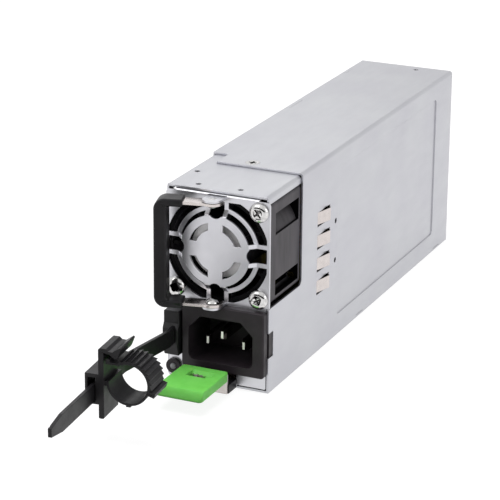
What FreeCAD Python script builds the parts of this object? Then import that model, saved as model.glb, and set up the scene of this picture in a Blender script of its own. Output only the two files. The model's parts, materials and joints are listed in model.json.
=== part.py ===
import FreeCAD, Part
import math
import os

from FreeCAD import Rotation, Vector

# Hot swap server power supply, standing on its narrow side, in millimetres.
# X runs across the front face, +Y towards the rear, +Z up.
# The origin is the middle of the case's bottom face.

# Case: a bent tray and a bent cover of zinc-plated steel.
CASE_WIDTH = 40.0
CASE_HEIGHT = 73.5
CASE_LENGTH = 185.0
SHEET = 0.8
BEND = 0.6               # inside radius of every bend
SEAM = 0.1               # gap between two sheets that meet
PANEL_GAP = 0.3          # above and below the rear panel, to clear the bends
CAP_STOP = 0.1           # the tray's own top ends this far before the fan's rear
FRONT_CAP_LIP = 2.9      # how far that top turns down at the fan's open side
TONGUE = (14.0, 10.0)    # tongue beside the cover: its inner edge from the centre, its length
COVER_TABS = ((105.3, 117.0), (163.4, 169.2))    # tray tabs in the cover's top left edge
FLOOR_TABS = ((83.4, 89.6), (168.8, 175.6))      # tray tabs in the cover's lower right edge
TAB_WIDTH = 1.6
PANEL_RECESS = 0.4       # depth of the pressed panel in the cover's side
PANEL = (63.0, 167.0, 8.0, 66.0)                 # its front, rear, lower and upper edges
TOP_PIPS = ((-16.2, 17.4), (-9.4, 4.2), (6.8, 4.4), (5.6, 180.6))
PIP_RADIUS = 1.0
COVER_SCREW = (-1.7, 4.4)    # across, and behind the cover's front edge
COVER_SCREW_HEAD = 2.7
REAR_SCREW_HEIGHTS = (14.0, 60.0)

# Fan: a 38 mm fan with a 32 mm screw pitch, the size that fits in a 40 mm case.
FAN_SIZE = 38.0
FAN_DEPTH = 28.0
FAN_PITCH = 32.0
FAN_HEIGHT = 51.0        # of its axis above the bottom face
FAN_FLANGE = 6.4         # of the front flange
FAN_BORE = 18.2          # radius of the duct
FAN_DUCT_WALL = 0.75
FAN_POCKETS = ((6.0, 14.0), (-16.6, -10.8))      # beside the duct, measured from the axis
FAN_REAR_FLANGE = 1.5
FAN_HUB = 10.8
FAN_STATOR_DEPTH = 5.0
FAN_STRUTS = 7
FAN_BLADES = 7
BLADE_GAP = 0.6
SHAFT = 1.0
SHAFT_FIT = 0.05
SIDE_OPENING_GAP = 0.6   # cut-out edge above the fan, and below its frame

# Face plate with the stamped guard.
FACE_TOP = 70.9
FACE_SIDE_GAP = 0.3      # between its lower half and the case walls
FACE_TAB = 7.6           # left side of its lower right tab
TAB_GAP = 0.4            # between that tab and the tray's floor
TAB_NOTCH = (18.1, 7.7, 8.5)                     # notch in its right edge: left side, lower and upper edge
FACE_CORNER = 1.5
GUARD_RISE = 2.0         # the middle disc is pressed forward this far
GUARD_DISC = 13.2
GUARD_SLOT_END = 12.0
GUARD_SLOT = 5.3
GUARD_SPOKE = 1.55
GUARD_RING = (14.6, 16.2)
GUARD_OPENING = 19.9
GUARD_OPENING_HALF = 18.95
GUARD_WINDOW = (7.8, 10.4)
GUARD_WINDOW_EDGE = 2.8
SCREW_HEAD = 3.6
SCREW_HEAD_HEIGHT = 2.0
SCREW_SHANK = 1.5
SCREW_CLEARANCE = 0.05
TOP_FLANGE = (-16.3, 15.8)
TOP_FLANGE_DEPTH = 8.0

# Bail handle on two lugs.
HANDLE_REST = 15.5       # degrees that it stands off the face
HANDLE_PIVOT = 4.3       # distance of its axis in front of the face
HANDLE_SPAN = 40.2       # overall height
HANDLE_REACH = 20.3      # from the axis to the outside of the bar
HANDLE_WIDTH = 7.2
HANDLE_ARM = 2.75
HANDLE_BAR = 3.8
HANDLE_ARM_START = 10.1
HANDLE_CORNER = 4.0
LUG = 1.0
LUG_EYE = 3.8
LUG_NECK = 4.6
LUG_GAP = 0.15
TAB_HALF = 3.5
TAB_REACH = 7.9
RIVET = 1.5
RIVET_FIT = 0.05

# Mains inlet.
INLET_CENTRE = (3.35, 18.4)
INLET_FRAME = (32.0, 24.6)
INLET_PROUD = 3.0
INLET_OPENING = (25.0, 16.8)
INLET_OPENING_OFFSET = (-0.75, -0.6)
INLET_CHAMFER = 4.7
INLET_DEPTH = 18.0       # of the cavity
INLET_WALL = 1.5
INLET_BODY_DROP = 1.6    # how far the body stays inside the frame's outline
INLET_BODY_RIGHT = 2.5   # the same at its right side
PIN_PITCH = 14.0
PIN_RISE = 4.0
PIN_SIZE = (2.0, 4.0)
PIN_FLAT = 0.8           # width left of a pin's tip between its chamfers
PIN_TIP = (1.5, -1.4)    # depth of the line pins' tips and of the earth pin's tip
EAR = (13.2, 22.6)       # lower and upper edge of the window for the inlet's snap ear
EAR_NOTCH = 18.4         # how far that window reaches into the face plate
EAR_DEPTH = 4.0

# Left column: cord strap anchor and status lamp.
ANCHOR = (-19.2, -13.1)  # its left and right sides
ANCHOR_PROFILE = ((0.0, 10.0), (-4.0, 10.0), (-5.3, 14.6), (-5.3, 20.2), (-4.2, 22.5), (-4.2, 26.8), (0.0, 26.8))
ANCHOR_PLUG = (14.0, 24.0)
LAMP = (-16.9, 4.5)
LAMP_RING = 2.8
LAMP_LENS = 1.15
COLUMN_EDGE = -13.3

# Release latch at the foot of the face.
LATCH_CAP = (-9.9, 7.9, 5.3, 8.8)
LATCH_CAP_LENGTH = 23.0
LATCH_PLATE = 7.5        # distance of the lever's upright in front of the face
LATCH_METAL = 0.8
LATCH_OPENING = 8.3
LATCH_PIVOT = (42.0, 3.0)
LATCH_PIN = 1.0
LATCH_PIN_FIT = 0.05
LATCH_FLOOR_GAP = 0.15
SPRING_LEAF = 0.3

# Cord strap and clamp.
STRAP = 1.3              # thickness
STRAP_HEIGHT = 6.2
STRAP_CENTRE = 18.3
STRAP_ROUTE = ((-15.2, -4.0), (-14.6, -9.6), (-18.3, -36.5), (-12.5, -99.0))
STRAP_BEND = 8.0
CLAMP_FROM_BEND = 21.3   # along the strap, from its bend to the clamp's middle
CLAMP_DEPTH = 12.5
CLAMP_CHANNEL = (-1.9, 0.95, 15.0, 23.9)
CLAMP_BOX = (-2.8, 2.1, 14.3, 25.2)
CLAMP_TONGUE = 1.1       # reach of the ratchet tongue inside the channel
RING_BORE = 6.9
RING_CENTRE = (5.6 + RING_BORE, 22.9)
CLAMP_PLATE = (2.1, 4.0, 9.3, RING_CENTRE[1] + RING_BORE + 3.3)
RING_WALL = 0.8
RING_SETBACK = 0.5       # of the ring behind the plate's edges
RING_EAR = (-18.0, 9.9)  # angle of the ring's living hinge and its reach from the centre
RING_END = 118.0         # angle where the band leaves the circle
RING_TEETH = 10
TOOTH_PITCH = 13.0
TOOTH = 0.75
BAND_TAIL = (4.6, RING_CENTRE[1] + RING_BORE - 0.6)
PAWL_GAP = 0.1

# EMI spring fingers in the cover's side.
FINGERS = 4
FINGER_PITCH = 8.8
FINGER_WINDOW = (42.8, 54.6, 5.5)
FINGER_TOP = 54.5
FINGER_WIDTH = 4.7
FINGER_PROUD = 1.3
FINGER_SHEET = 0.25
COVER_PIPS = ((60.3, 46.3), (60.3, 30.9))

# Circuit board and what it carries.
BOARD = 1.6
BOARD_STANDOFF = 3.2
BOARD_SPAN = (182.0, 4.0, 69.5)                  # its rear, lower and upper edge
BOARD_START = 5.3        # of its front edge behind the tray's top
EDGE_LENGTH = 11.0       # of the card edge behind the board
EDGE_SPAN = (9.0, 64.5)
EDGE_PROUD = 8.5
EDGE_CONTACTS = 20
FILM = 0.4
STANDOFF_RADIUS = 2.4
FRONT_STANDOFF = 6.0     # of the front pair behind the board's front edge
LAYOUT_START = 34.0      # board's front edge in the layout that the depths of its parts are given for

LEFT = -CASE_WIDTH / 2
RIGHT = CASE_WIDTH / 2
BOARD_BACK = LEFT + SHEET + BOARD_STANDOFF
BOARD_FACE = BOARD_BACK + BOARD
FRONT_CAP = SHEET + FAN_DEPTH - CAP_STOP
CAP_TOP = CASE_HEIGHT - SHEET
CAP_RIGHT = RIGHT - SHEET
SCREW_DEPTH = FRONT_CAP + COVER_SCREW[1]
BOARD_FRONT = FRONT_CAP + BOARD_START
BOARD_FIRST = BOARD_FRONT + FRONT_STANDOFF
LAYOUT_SHIFT = BOARD_FRONT - LAYOUT_START
STANDOFFS = ((BOARD_FIRST, 8.0), (BOARD_FIRST, 65.5), (112.0 + LAYOUT_SHIFT, 34.6),
             (171.0 + LAYOUT_SHIFT, 8.0), (171.0 + LAYOUT_SHIFT, 65.5))
X_AXIS = Vector(1, 0, 0)
Y_AXIS = Vector(0, 1, 0)
Z_AXIS = Vector(0, 0, 1)


def front(depth):
    """Y of the plane that lies this deep behind the front face."""
    return depth - CASE_LENGTH / 2


def box(x, y, z):
    """Box between three (low, high) pairs."""
    corner = Vector(x[0], y[0], z[0])
    return Part.makeBox(x[1] - x[0], y[1] - y[0], z[1] - z[0], corner)


def deep_box(x, depths, z):
    """Box whose Y range is given as depths behind the front face."""
    return box(x, (front(depths[0]), front(depths[1])), z)


def rod(radius, start, along):
    """Cylinder from a point along a vector."""
    return Part.makeCylinder(radius, along.Length, start, along)


def tube(outer, inner, start, along):
    return rod(outer, start, along).cut(rod(inner, start, along))


def joined(*shapes):
    return shapes[0].multiFuse(list(shapes[1:])).removeSplitter()


def group(shapes):
    """Separate solids kept together in one node."""
    return Part.makeCompound([solid for shape in shapes for solid in shape.Solids])


def rounded_edges(points, radii):
    """Closed run of lines, with an arc at each corner that has a radius."""
    corners = [Vector(u, v, 0) for u, v in points]
    if not isinstance(radii, (list, tuple)):
        radii = [radii] * len(corners)
    stops = []
    for index, here in enumerate(corners):
        back = (corners[index - 1] - here).normalize()
        ahead = (corners[(index + 1) % len(corners)] - here).normalize()
        half = back.getAngle(ahead) / 2
        radius = radii[index]
        reach = radius / math.tan(half)
        middle = here
        if radius > 0:
            bisector = (back + ahead).normalize()
            middle = here + bisector * (radius / math.sin(half) - radius)
        stops.append((here + back * reach, middle, here + ahead * reach))
    edges = []
    for index, (start, middle, end) in enumerate(stops):
        if radii[index] > 0:
            edges.append(Part.Arc(start, middle, end).toShape())
        following = stops[(index + 1) % len(stops)][0]
        if end.distanceToPoint(following) > 1e-6:
            edges.append(Part.LineSegment(end, following).toShape())
    return edges


def prism(points, low, high, axis, radii=0.0):
    """Outline pushed along X, Y or Z; its points are the other two coordinates in order."""
    wire = Part.Wire(Part.__sortEdges__(rounded_edges(points, radii)))
    face = Part.Face(wire)
    if axis == "Z":
        face.translate(Vector(0, 0, low))
        return face.extrude(Vector(0, 0, high - low))
    if axis == "Y":
        face.rotate(Vector(), X_AXIS, 90)
        face.translate(Vector(0, low, 0))
        return face.extrude(Vector(0, high - low, 0))
    face.Placement = FreeCAD.Placement(Vector(low, 0, 0), Rotation(Y_AXIS, Z_AXIS, X_AXIS, "ZXY"))
    return face.extrude(Vector(high - low, 0, 0))


def rectangle(u, v):
    return ((u[0], v[0]), (u[1], v[0]), (u[1], v[1]), (u[0], v[1]))


def strip(path, thickness, radius):
    """Outline and radii of a bent strip whose thickness lies to the left of its path."""
    points = [Vector(u, v, 0) for u, v in path]
    runs = [(b - a).normalize() for a, b in zip(points, points[1:])]
    normals = [Vector(-run.y, run.x, 0) for run in runs]
    near = [radius] * len(points)
    far = [radius] * len(points)
    other = []
    for index, point in enumerate(points):
        first = normals[max(index - 1, 0)]
        second = normals[min(index, len(normals) - 1)]
        other.append(point + (first + second) * (thickness / (1 + first.dot(second))))
        if 0 < index < len(points) - 1:
            left_turn = runs[index - 1].cross(runs[index]).z > 0
            near[index] = radius + thickness if left_turn else radius
            far[index] = radius if left_turn else radius + thickness
    near[0] = near[-1] = far[0] = far[-1] = 0.0
    outline = [(p.x, p.y) for p in points] + [(p.x, p.y) for p in reversed(other)]
    return outline, near + far[::-1]


def bent_sheet(path, low, high, axis, thickness=SHEET, radius=BEND):
    outline, radii = strip(path, thickness, radius)
    return prism(outline, low, high, axis, radii)


def square_pattern(pitch, centre_height):
    """Centres of four screws round the fan's axis."""
    half = pitch / 2
    return [(x, centre_height + z) for x in (-half, half) for z in (-half, half)]


def cross_recess(radius, depth, centre, inward, across, up):
    """Cutter for a Phillips recess: two tapered bars across a screw head."""
    bars = []
    for side in (across, up):
        other = up if side is across else across
        width = radius * 0.32
        corners = [centre + side * (s * radius) + other * (t * width)
                   for s, t in ((-1, -1), (1, -1), (1, 1), (-1, 1))]
        mouth = Part.Face(Part.makePolygon(corners + corners[:1]))
        bars.append(mouth.extrude(inward * depth))
    return joined(*bars)


# ---------------------------------------------------------------- case

def side_cutout(x_low, x_high):
    """The opening beside the fan, through one side wall and out at the front."""
    low = FAN_HEIGHT - FAN_SIZE / 2 - SIDE_OPENING_GAP / 2
    return deep_box((x_low, x_high), (-1.0, FRONT_CAP - 0.2), (low, CAP_TOP - FRONT_CAP_LIP))


def base_tray():
    """Floor and left wall, with the front cap that lies one sheet lower than the cover."""
    right = RIGHT - SHEET
    wall_top = CASE_HEIGHT - SHEET - SEAM
    floor = [(LEFT, 0), (right, 0)]
    cap_path = [(CAP_RIGHT, CAP_TOP - FRONT_CAP_LIP), (CAP_RIGHT, CAP_TOP), (LEFT, CAP_TOP)]
    tongue_path = [(-TONGUE[0], CAP_TOP), (LEFT, CAP_TOP)]
    back = FRONT_CAP + TONGUE[1]
    behind_face = SHEET + SEAM
    cap = bent_sheet(cap_path + floor, front(behind_face), front(FRONT_CAP), "Y")
    tongue = bent_sheet(tongue_path + floor, front(FRONT_CAP), front(back), "Y")
    wall = bent_sheet([(LEFT, wall_top)] + floor, front(back), front(CASE_LENGTH), "Y")
    edge = deep_box((LEFT + BEND, CAP_RIGHT - BEND), (0, behind_face), (CAP_TOP - SHEET, CAP_TOP))
    sill = deep_box((FACE_TAB, right), (0, behind_face), (0, SHEET))
    tray = joined(cap, tongue, wall, edge, sill)
    tray = tray.cut(side_cutout(LEFT - 1, LEFT + SHEET + 1))

    hook_top = CAP_TOP - SEAM
    hook = deep_box((-7.0, 4.0), (FRONT_CAP - 0.1, FRONT_CAP + 10.0), (hook_top - SHEET, hook_top))
    rail = deep_box((LEFT + SHEET, LEFT + 7.0), (44.0, 174.0), (wall_top - SHEET, wall_top))
    ears = [latch_ear(x) for x in (-8.0, 6.0)]
    tabs = [deep_box((LEFT, LEFT + TAB_WIDTH), span, (wall_top - 1.0, CASE_HEIGHT))
            for span in COVER_TABS]
    feet = [deep_box((right - 1.0, RIGHT), span, (0, SHEET)) for span in FLOOR_TABS]
    tray = joined(tray, hook, rail, *ears, *tabs, *feet)

    holes = [rod(PIP_RADIUS, Vector(x, front(d), CAP_TOP - 2 * SHEET), Z_AXIS * 3)
             for x, d in TOP_PIPS if d < FRONT_CAP]
    screw = Vector(COVER_SCREW[0], front(SCREW_DEPTH), CASE_HEIGHT)
    holes.append(rod(SCREW_SHANK, screw - Z_AXIS * 3, Z_AXIS * 3))
    holes.append(countersink(screw, -Z_AXIS))
    holes.append(deep_box((-4.6, 2.6), (9.4, 15.6), (-1, SHEET + 1)))
    holes.append(deep_box((LEFT + SHEET, FACE_TAB), (-1, 1.2), (-1, SHEET + 0.1)))
    for height in REAR_SCREW_HEIGHTS:
        holes.append(rod(SCREW_SHANK, Vector(LEFT - 1, front(CASE_LENGTH - 5), height), X_AXIS * 3))
        holes.append(countersink(Vector(LEFT, front(CASE_LENGTH - 5), height), X_AXIS))
    return tray.cut(joined(*holes))


def countersink(point, inward, clearance=0.0):
    """Cone of a flat screw head, or of its seat when there is no clearance."""
    wide = COVER_SCREW_HEAD - clearance
    return Part.makeCone(wide, SCREW_SHANK - clearance, COVER_SCREW_HEAD - SCREW_SHANK, point, inward)


def latch_ear(x):
    """Upright ear of the tray floor that holds the latch pin."""
    depth, height = LATCH_PIVOT
    outline = [(front(depth - 3), 0.4), (front(depth + 3), 0.4), (front(depth + 3), height + 2.4),
               (front(depth - 3), height + 2.4)]
    ear = prism(outline, x - SHEET / 2, x + SHEET / 2, "X", [0, 0, 2.0, 2.0])
    return ear.cut(rod(LATCH_PIN, Vector(x - 2, front(depth), height), X_AXIS * 4))


def finger_heights():
    """Middle heights of the spring finger windows, from the top down."""
    first = FINGER_TOP - FINGER_WINDOW[2] / 2
    return [first - FINGER_PITCH * index for index in range(FINGERS)]


def cover():
    path = [(RIGHT, 0), (RIGHT, CASE_HEIGHT), (LEFT, CASE_HEIGHT)]
    shell = bent_sheet(path, front(0), front(CASE_LENGTH), "Y")
    fan_low = FAN_HEIGHT - FAN_SIZE / 2 - SIDE_OPENING_GAP / 2
    seam = FRONT_CAP + SEAM
    inner_tongue = -TONGUE[0] + SEAM
    opening = rectangle((front(-1), front(seam)), (fan_low, CASE_HEIGHT + 1))
    cuts = [prism(opening, LEFT - 1, RIGHT + 1, "X", [0, 2.0, 0, 0]),
            deep_box((LEFT - 1, inner_tongue), (seam - 1, seam + TONGUE[1]), (60, CASE_HEIGHT + 1)),
            deep_box((RIGHT - SHEET - 1, RIGHT + 1), (-1, EAR_DEPTH), EAR)]
    for span in COVER_TABS:
        wide = (span[0] - SEAM, span[1] + SEAM)
        cuts.append(deep_box((LEFT - 1, LEFT + TAB_WIDTH + SEAM), wide, (60, CASE_HEIGHT + 1)))
    for span in FLOOR_TABS:
        wide = (span[0] - SEAM, span[1] + SEAM)
        cuts.append(deep_box((0, RIGHT + 1), wide, (-1, SHEET + 2 * SEAM)))
    for height in finger_heights():
        half = FINGER_WINDOW[2] / 2
        cuts.append(deep_box((RIGHT - 3, RIGHT + 1), FINGER_WINDOW[:2], (height - half, height + half)))
    for depth, height in COVER_PIPS:
        cuts.append(rod(PIP_RADIUS, Vector(RIGHT - 3, front(depth), height), X_AXIS * 4))
    for x, depth in TOP_PIPS:
        if depth > FRONT_CAP:
            cuts.append(rod(PIP_RADIUS, Vector(x, front(depth), CASE_HEIGHT - 2), Z_AXIS * 3))
    screw = Vector(COVER_SCREW[0], front(SCREW_DEPTH), CASE_HEIGHT)
    cuts.append(countersink(screw, -Z_AXIS))
    cuts.append(rod(SCREW_SHANK, screw - Z_AXIS * 3, Z_AXIS * 4))
    shell = shell.cut(joined(*cuts))

    near, far, low, high = PANEL
    inner = rectangle((front(near - PANEL_RECESS), front(far + PANEL_RECESS)),
                      (low - PANEL_RECESS, high + PANEL_RECESS))
    outer = rectangle((front(near), front(far)), (low, high))
    inside = prism(inner, RIGHT - SHEET - PANEL_RECESS, RIGHT - SHEET, "X", 2.0)
    pocket = prism(outer, RIGHT - PANEL_RECESS, RIGHT + 1, "X", 2.0)
    return joined(shell, inside).cut(pocket)


def rear_panel():
    """Flat panel with flanges on two sides, a card edge slot and a honeycomb of vents."""
    left = LEFT + SHEET + SEAM
    right = RIGHT - SHEET - SEAM
    top = CASE_HEIGHT - SHEET - PANEL_GAP
    low = SHEET + PANEL_GAP
    back = front(CASE_LENGTH)
    path = [(right, front(CASE_LENGTH - 8)), (right, back), (left, back), (left, front(CASE_LENGTH - 10))]
    panel = bent_sheet(path, low, top, "Z")
    slot = deep_box((BOARD_BACK - 1.2, BOARD_FACE + 1.2), (CASE_LENGTH - 2, CASE_LENGTH + 1),
                    (EDGE_SPAN[0] - 1.5, EDGE_SPAN[1] + 1.5))
    cell = 2.1
    pitch = 5.0
    vents = []
    for column in range(5):
        shift = pitch / 2 if column % 2 else 0.0
        for row in range(12):
            x = -7.5 + column * pitch * math.sqrt(3) / 2
            z = 7.5 + shift + row * pitch
            corners = [(x + cell * math.cos(math.radians(60 * k)), z + cell * math.sin(math.radians(60 * k)))
                       for k in range(6)]
            vents.append(prism(corners, back - 2, back + 1, "Y"))
    screws = []
    for height in REAR_SCREW_HEIGHTS:
        screws.append(rod(SCREW_SHANK, Vector(left - 1, front(CASE_LENGTH - 5), height), X_AXIS * 3))
        screws.append(countersink(Vector(LEFT, front(CASE_LENGTH - 5), height), X_AXIS))
    reliefs = [rod(STANDOFF_RADIUS + 0.4, Vector(LEFT, front(d), z), X_AXIS * (2 * SHEET + 1.0)) for d, z in STANDOFFS]
    return panel.cut(joined(*screws)).cut(Part.makeCompound([slot] + vents)).cut(Part.makeCompound(reliefs))


def countersunk_screw(point, inward, across, up, length):
    """Flat-head screw whose head lies level with the surface at the point."""
    cone = countersink(point, inward, SCREW_CLEARANCE)
    shank = rod(SCREW_SHANK - SCREW_CLEARANCE, point + inward * 0.4, inward * (length - 0.4))
    recess = cross_recess(1.5, 0.9, point - inward * 0.1, inward, across, up)
    return joined(cone, shank).cut(recess)


def cover_screws():
    top = Vector(COVER_SCREW[0], front(SCREW_DEPTH), CASE_HEIGHT)
    screws = [countersunk_screw(top, -Z_AXIS, X_AXIS, Y_AXIS, 4.0)]
    for height in REAR_SCREW_HEIGHTS:
        point = Vector(LEFT, front(CASE_LENGTH - 5), height)
        screws.append(countersunk_screw(point, X_AXIS, Y_AXIS, Z_AXIS, 4.0))
    return group(screws)


# ---------------------------------------------------------------- face plate

def guard_cutter(low, high):
    """All the air openings of the guard that lie in the plate's own plane."""
    centre = Vector(0, low, FAN_HEIGHT)
    through = Y_AXIS * (high - low)
    half = GUARD_OPENING_HALF
    square = box((-half, half), (low, high), (FAN_HEIGHT - half, FAN_HEIGHT + half))
    opening = rod(GUARD_OPENING, centre, through).common(square)
    ring = tube(GUARD_RING[1], GUARD_RING[0], centre, through)
    return opening.cut(joined(ring, *spokes(low, high)))


def spokes(low, high):
    """Pairs of bars each side of the four slots, from the ring outwards."""
    near = GUARD_SLOT / 2
    far = near + GUARD_SPOKE
    start = GUARD_RING[0] - 0.3
    bars = []
    for turn in range(4):
        for side in (-1, 1):
            across = sorted((side * near, side * far))
            bar = box(across, (low, high), (start, GUARD_OPENING + 1))
            bar.rotate(Vector(), Y_AXIS, 90 * turn)
            bar.translate(Vector(0, 0, FAN_HEIGHT))
            bars.append(bar)
    return bars


def sloping_spokes():
    """Short ramps that carry the raised disc from the ring's plane."""
    near = GUARD_SLOT / 2
    path = [(GUARD_SLOT_END - 0.2, -GUARD_RISE), (GUARD_DISC - 0.2, -GUARD_RISE),
            (GUARD_RING[0] + 0.5, 0), (GUARD_RING[1], 0)]
    outline, radii = strip(path, SHEET, 0.0)
    ramps = []
    for turn in range(4):
        for side in (-1, 1):
            across = sorted((side * near, side * (near + GUARD_SPOKE)))
            ramp = prism([(front(depth), r) for r, depth in outline], across[0], across[1], "X", radii)
            ramp.rotate(Vector(), Y_AXIS, 90 * turn)
            ramp.translate(Vector(0, 0, FAN_HEIGHT))
            ramps.append(ramp)
    return ramps


def guard_disc():
    """Raised middle disc with four bowed windows and the inner ends of the slots."""
    low = front(-GUARD_RISE)
    high = low + SHEET
    centre = Vector(0, low, FAN_HEIGHT)
    disc = rod(GUARD_DISC, centre, Y_AXIS * SHEET)
    window = tube(GUARD_WINDOW[1], GUARD_WINDOW[0], centre, Y_AXIS * SHEET)
    far = GUARD_WINDOW[1] + 1
    corners = []
    for x_side in (-1, 1):
        for z_side in (-1, 1):
            x = sorted((x_side * GUARD_WINDOW_EDGE, x_side * far))
            z = sorted((FAN_HEIGHT + z_side * GUARD_WINDOW_EDGE, FAN_HEIGHT + z_side * far))
            corners.append(box(x, (low, high), z))
    return disc.cut(window.common(Part.makeCompound(corners)))


def guard_slots(low, high):
    """Round-ended slots at the four quarters, cut through the disc and the ring."""
    half = GUARD_SLOT / 2
    slots = []
    for turn in range(4):
        outline = rectangle((-half, half), (GUARD_SLOT_END, GUARD_OPENING_HALF))
        slot = prism(outline, low, high, "Y", [half - 0.05, half - 0.05, 0, 0])
        slot.rotate(Vector(), Y_AXIS, 90 * turn)
        slot.translate(Vector(0, 0, FAN_HEIGHT))
        slots.append(slot)
    return slots


def pivot_tab(height):
    """Tab turned out of the face plate to carry one of the handle's lugs."""
    outline = [(-TAB_HALF, front(SHEET / 2)), (-TAB_HALF, front(-TAB_REACH)),
               (TAB_HALF, front(-TAB_REACH)), (TAB_HALF, front(SHEET / 2))]
    tab = prism(outline, height, height + SHEET, "Z", [0, TAB_HALF - 0.05, TAB_HALF - 0.05, 0])
    return tab.cut(rod(RIVET, Vector(0, front(-HANDLE_PIVOT), height - 1), Z_AXIS * 3))


def top_tab_height():
    return FAN_HEIGHT + HANDLE_SPAN / 2 - SHEET


def bottom_tab_height():
    return FAN_HEIGHT - HANDLE_SPAN / 2


def face_plate():
    near = front(0)
    far = near + SHEET
    step = FAN_HEIGHT - FAN_SIZE / 2 - SIDE_OPENING_GAP / 2 + SEAM
    low = SHEET + SEAM
    lower = RIGHT - SHEET - FACE_SIDE_GAP
    tab_low = SHEET + TAB_GAP
    notch, notch_low, notch_high = TAB_NOTCH
    outline = [(-lower, low), (COLUMN_EDGE, low), (COLUMN_EDGE, INLET_CENTRE[1]), (FACE_TAB, INLET_CENTRE[1]),
               (FACE_TAB, tab_low), (lower, tab_low), (lower, notch_low), (notch, notch_low), (notch, notch_high),
               (lower, notch_high), (lower, step), (RIGHT, step), (RIGHT, FACE_TOP), (LEFT, FACE_TOP), (LEFT, step),
               (-lower, step)]
    corners = [0.4, 0, 0, 0, 0.5, 0.5, 0.5, 0, 0, 0.2, 0, 0.3, FACE_CORNER, FACE_CORNER, 0.3, 0]
    plate = prism(outline, near, far, "Y", corners)
    plate = plate.cut(guard_cutter(near - 1, far + 1))
    plate = joined(plate, guard_disc(), *sloping_spokes())
    plate = plate.cut(joined(*guard_slots(front(-GUARD_RISE - 1), far + 1)))

    flange_top = CAP_TOP - SHEET - SEAM
    path = [(front(TOP_FLANGE_DEPTH), flange_top), (near, flange_top), (near, FACE_TOP - 2.0)]
    flange = bent_sheet(path, TOP_FLANGE[0], TOP_FLANGE[1], "X")
    plate = joined(plate, flange, pivot_tab(top_tab_height()), pivot_tab(bottom_tab_height()))

    cuts = [rod(SCREW_SHANK + 0.2, Vector(x, near - 1, z), Y_AXIS * 3) for x, z in guard_screw_places()]
    cuts += [rod(PIP_RADIUS, Vector(x, front(d), flange_top - 2), Z_AXIS * 3)
             for x, d in TOP_PIPS if d < TOP_FLANGE_DEPTH]
    cuts.append(rod(LAMP_LENS + 0.65, Vector(LAMP[0], near - 1, LAMP[1]), Y_AXIS * 3))
    plug_hole = (ANCHOR_PLUG[0] - SEAM, ANCHOR_PLUG[1] + SEAM)
    cuts.append(deep_box((ANCHOR[0] + 1.3 - SEAM, ANCHOR[1] - 1.3 + SEAM), (-1, 2), plug_hole))
    cuts.append(prism(inlet_body(SEAM), near - 1, far + 1, "Y"))
    cuts.append(deep_box((EAR_NOTCH, RIGHT + 1), (-1, 2), EAR))
    for height in (top_tab_height(), bottom_tab_height()):
        cuts.append(rod(RIVET, Vector(0, front(-HANDLE_PIVOT), height - 1), Z_AXIS * 3))
    return plate.cut(joined(*cuts))


def guard_screw_places():
    """Three of the fan's corners; the one behind the handle's upper arm has no screw."""
    return square_pattern(FAN_PITCH, FAN_HEIGHT)[:1] + square_pattern(FAN_PITCH, FAN_HEIGHT)[2:]


def guard_screws():
    """Three pan-head screws that hold the guard and the fan."""
    screws = []
    for x, z in guard_screw_places():
        seat = Vector(x, front(0), z)
        crown = 1.2 * SCREW_HEAD
        ball = Part.makeSphere(crown, seat + Y_AXIS * (crown - SCREW_HEAD_HEIGHT))
        head = rod(SCREW_HEAD, seat, -Y_AXIS * (SCREW_HEAD_HEIGHT + 1)).common(ball)
        shank = rod(SCREW_SHANK, seat, Y_AXIS * (SHEET + FAN_FLANGE))
        turned = Rotation(Y_AXIS, 22 + 17 * len(screws))
        across = turned.multVec(X_AXIS)
        up = turned.multVec(Z_AXIS)
        top = seat - Y_AXIS * (SCREW_HEAD_HEIGHT + 0.1)
        screws.append(joined(head, shank).cut(cross_recess(1.9, 1.3, top, Y_AXIS, across, up)))
    return group(screws)


# ---------------------------------------------------------------- fan

def fan_centre(depth):
    return Vector(0, front(depth), FAN_HEIGHT)


def fan_frame():
    """Square frame with a round duct, corner pockets, front struts and the stator's cup."""
    half = FAN_SIZE / 2
    near = SHEET
    far = SHEET + FAN_DEPTH
    outline = rectangle((-half, half), (FAN_HEIGHT - half, FAN_HEIGHT + half))
    block = prism(outline, front(near), front(far), "Y", 2.0)
    duct = rod(FAN_BORE + FAN_DUCT_WALL, fan_centre(near), Y_AXIS * FAN_DEPTH)
    pockets = []
    for turn in range(4):
        for low, high in FAN_POCKETS:
            pocket = deep_box((8.0, half + 1), (near + FAN_FLANGE, far - FAN_REAR_FLANGE), (low, high))
            pocket.rotate(Vector(), Y_AXIS, 90 * turn)
            pocket.translate(Vector(0, 0, FAN_HEIGHT))
            pockets.append(pocket)
    block = block.cut(joined(*pockets).cut(duct))
    holes = [rod(SCREW_SHANK + SCREW_CLEARANCE, Vector(x, front(0), z), Y_AXIS * 40)
             for x, z in square_pattern(FAN_PITCH, FAN_HEIGHT)]
    block = block.cut(joined(rod(FAN_BORE, fan_centre(-1), Y_AXIS * 40), *holes))

    cup = rod(FAN_HUB, fan_centre(near + 0.6), Y_AXIS * FAN_STATOR_DEPTH)
    cup = cup.cut(rod(FAN_HUB - 1.2, fan_centre(near + 1.8), Y_AXIS * FAN_STATOR_DEPTH))
    post = tube(3.0, 2.2, fan_centre(near + 1.6), Y_AXIS * 16.0)
    arms = []
    for index in range(FAN_STRUTS):
        arm = box((-0.6, 0.6), (front(near + 0.8), front(near + 4.2)), (FAN_HUB - 0.4, FAN_BORE + 0.4))
        arm.rotate(Vector(), Y_AXIS, 12 + 360.0 * index / FAN_STRUTS)
        arm.translate(Vector(0, 0, FAN_HEIGHT))
        arms.append(arm)
    return joined(block, cup, post, *arms)


def fan_label():
    """Bare foil disc on the stator's cup."""
    return rod(FAN_HUB - 0.3, fan_centre(SHEET + 0.6 - 0.12), Y_AXIS * 0.12)


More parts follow.
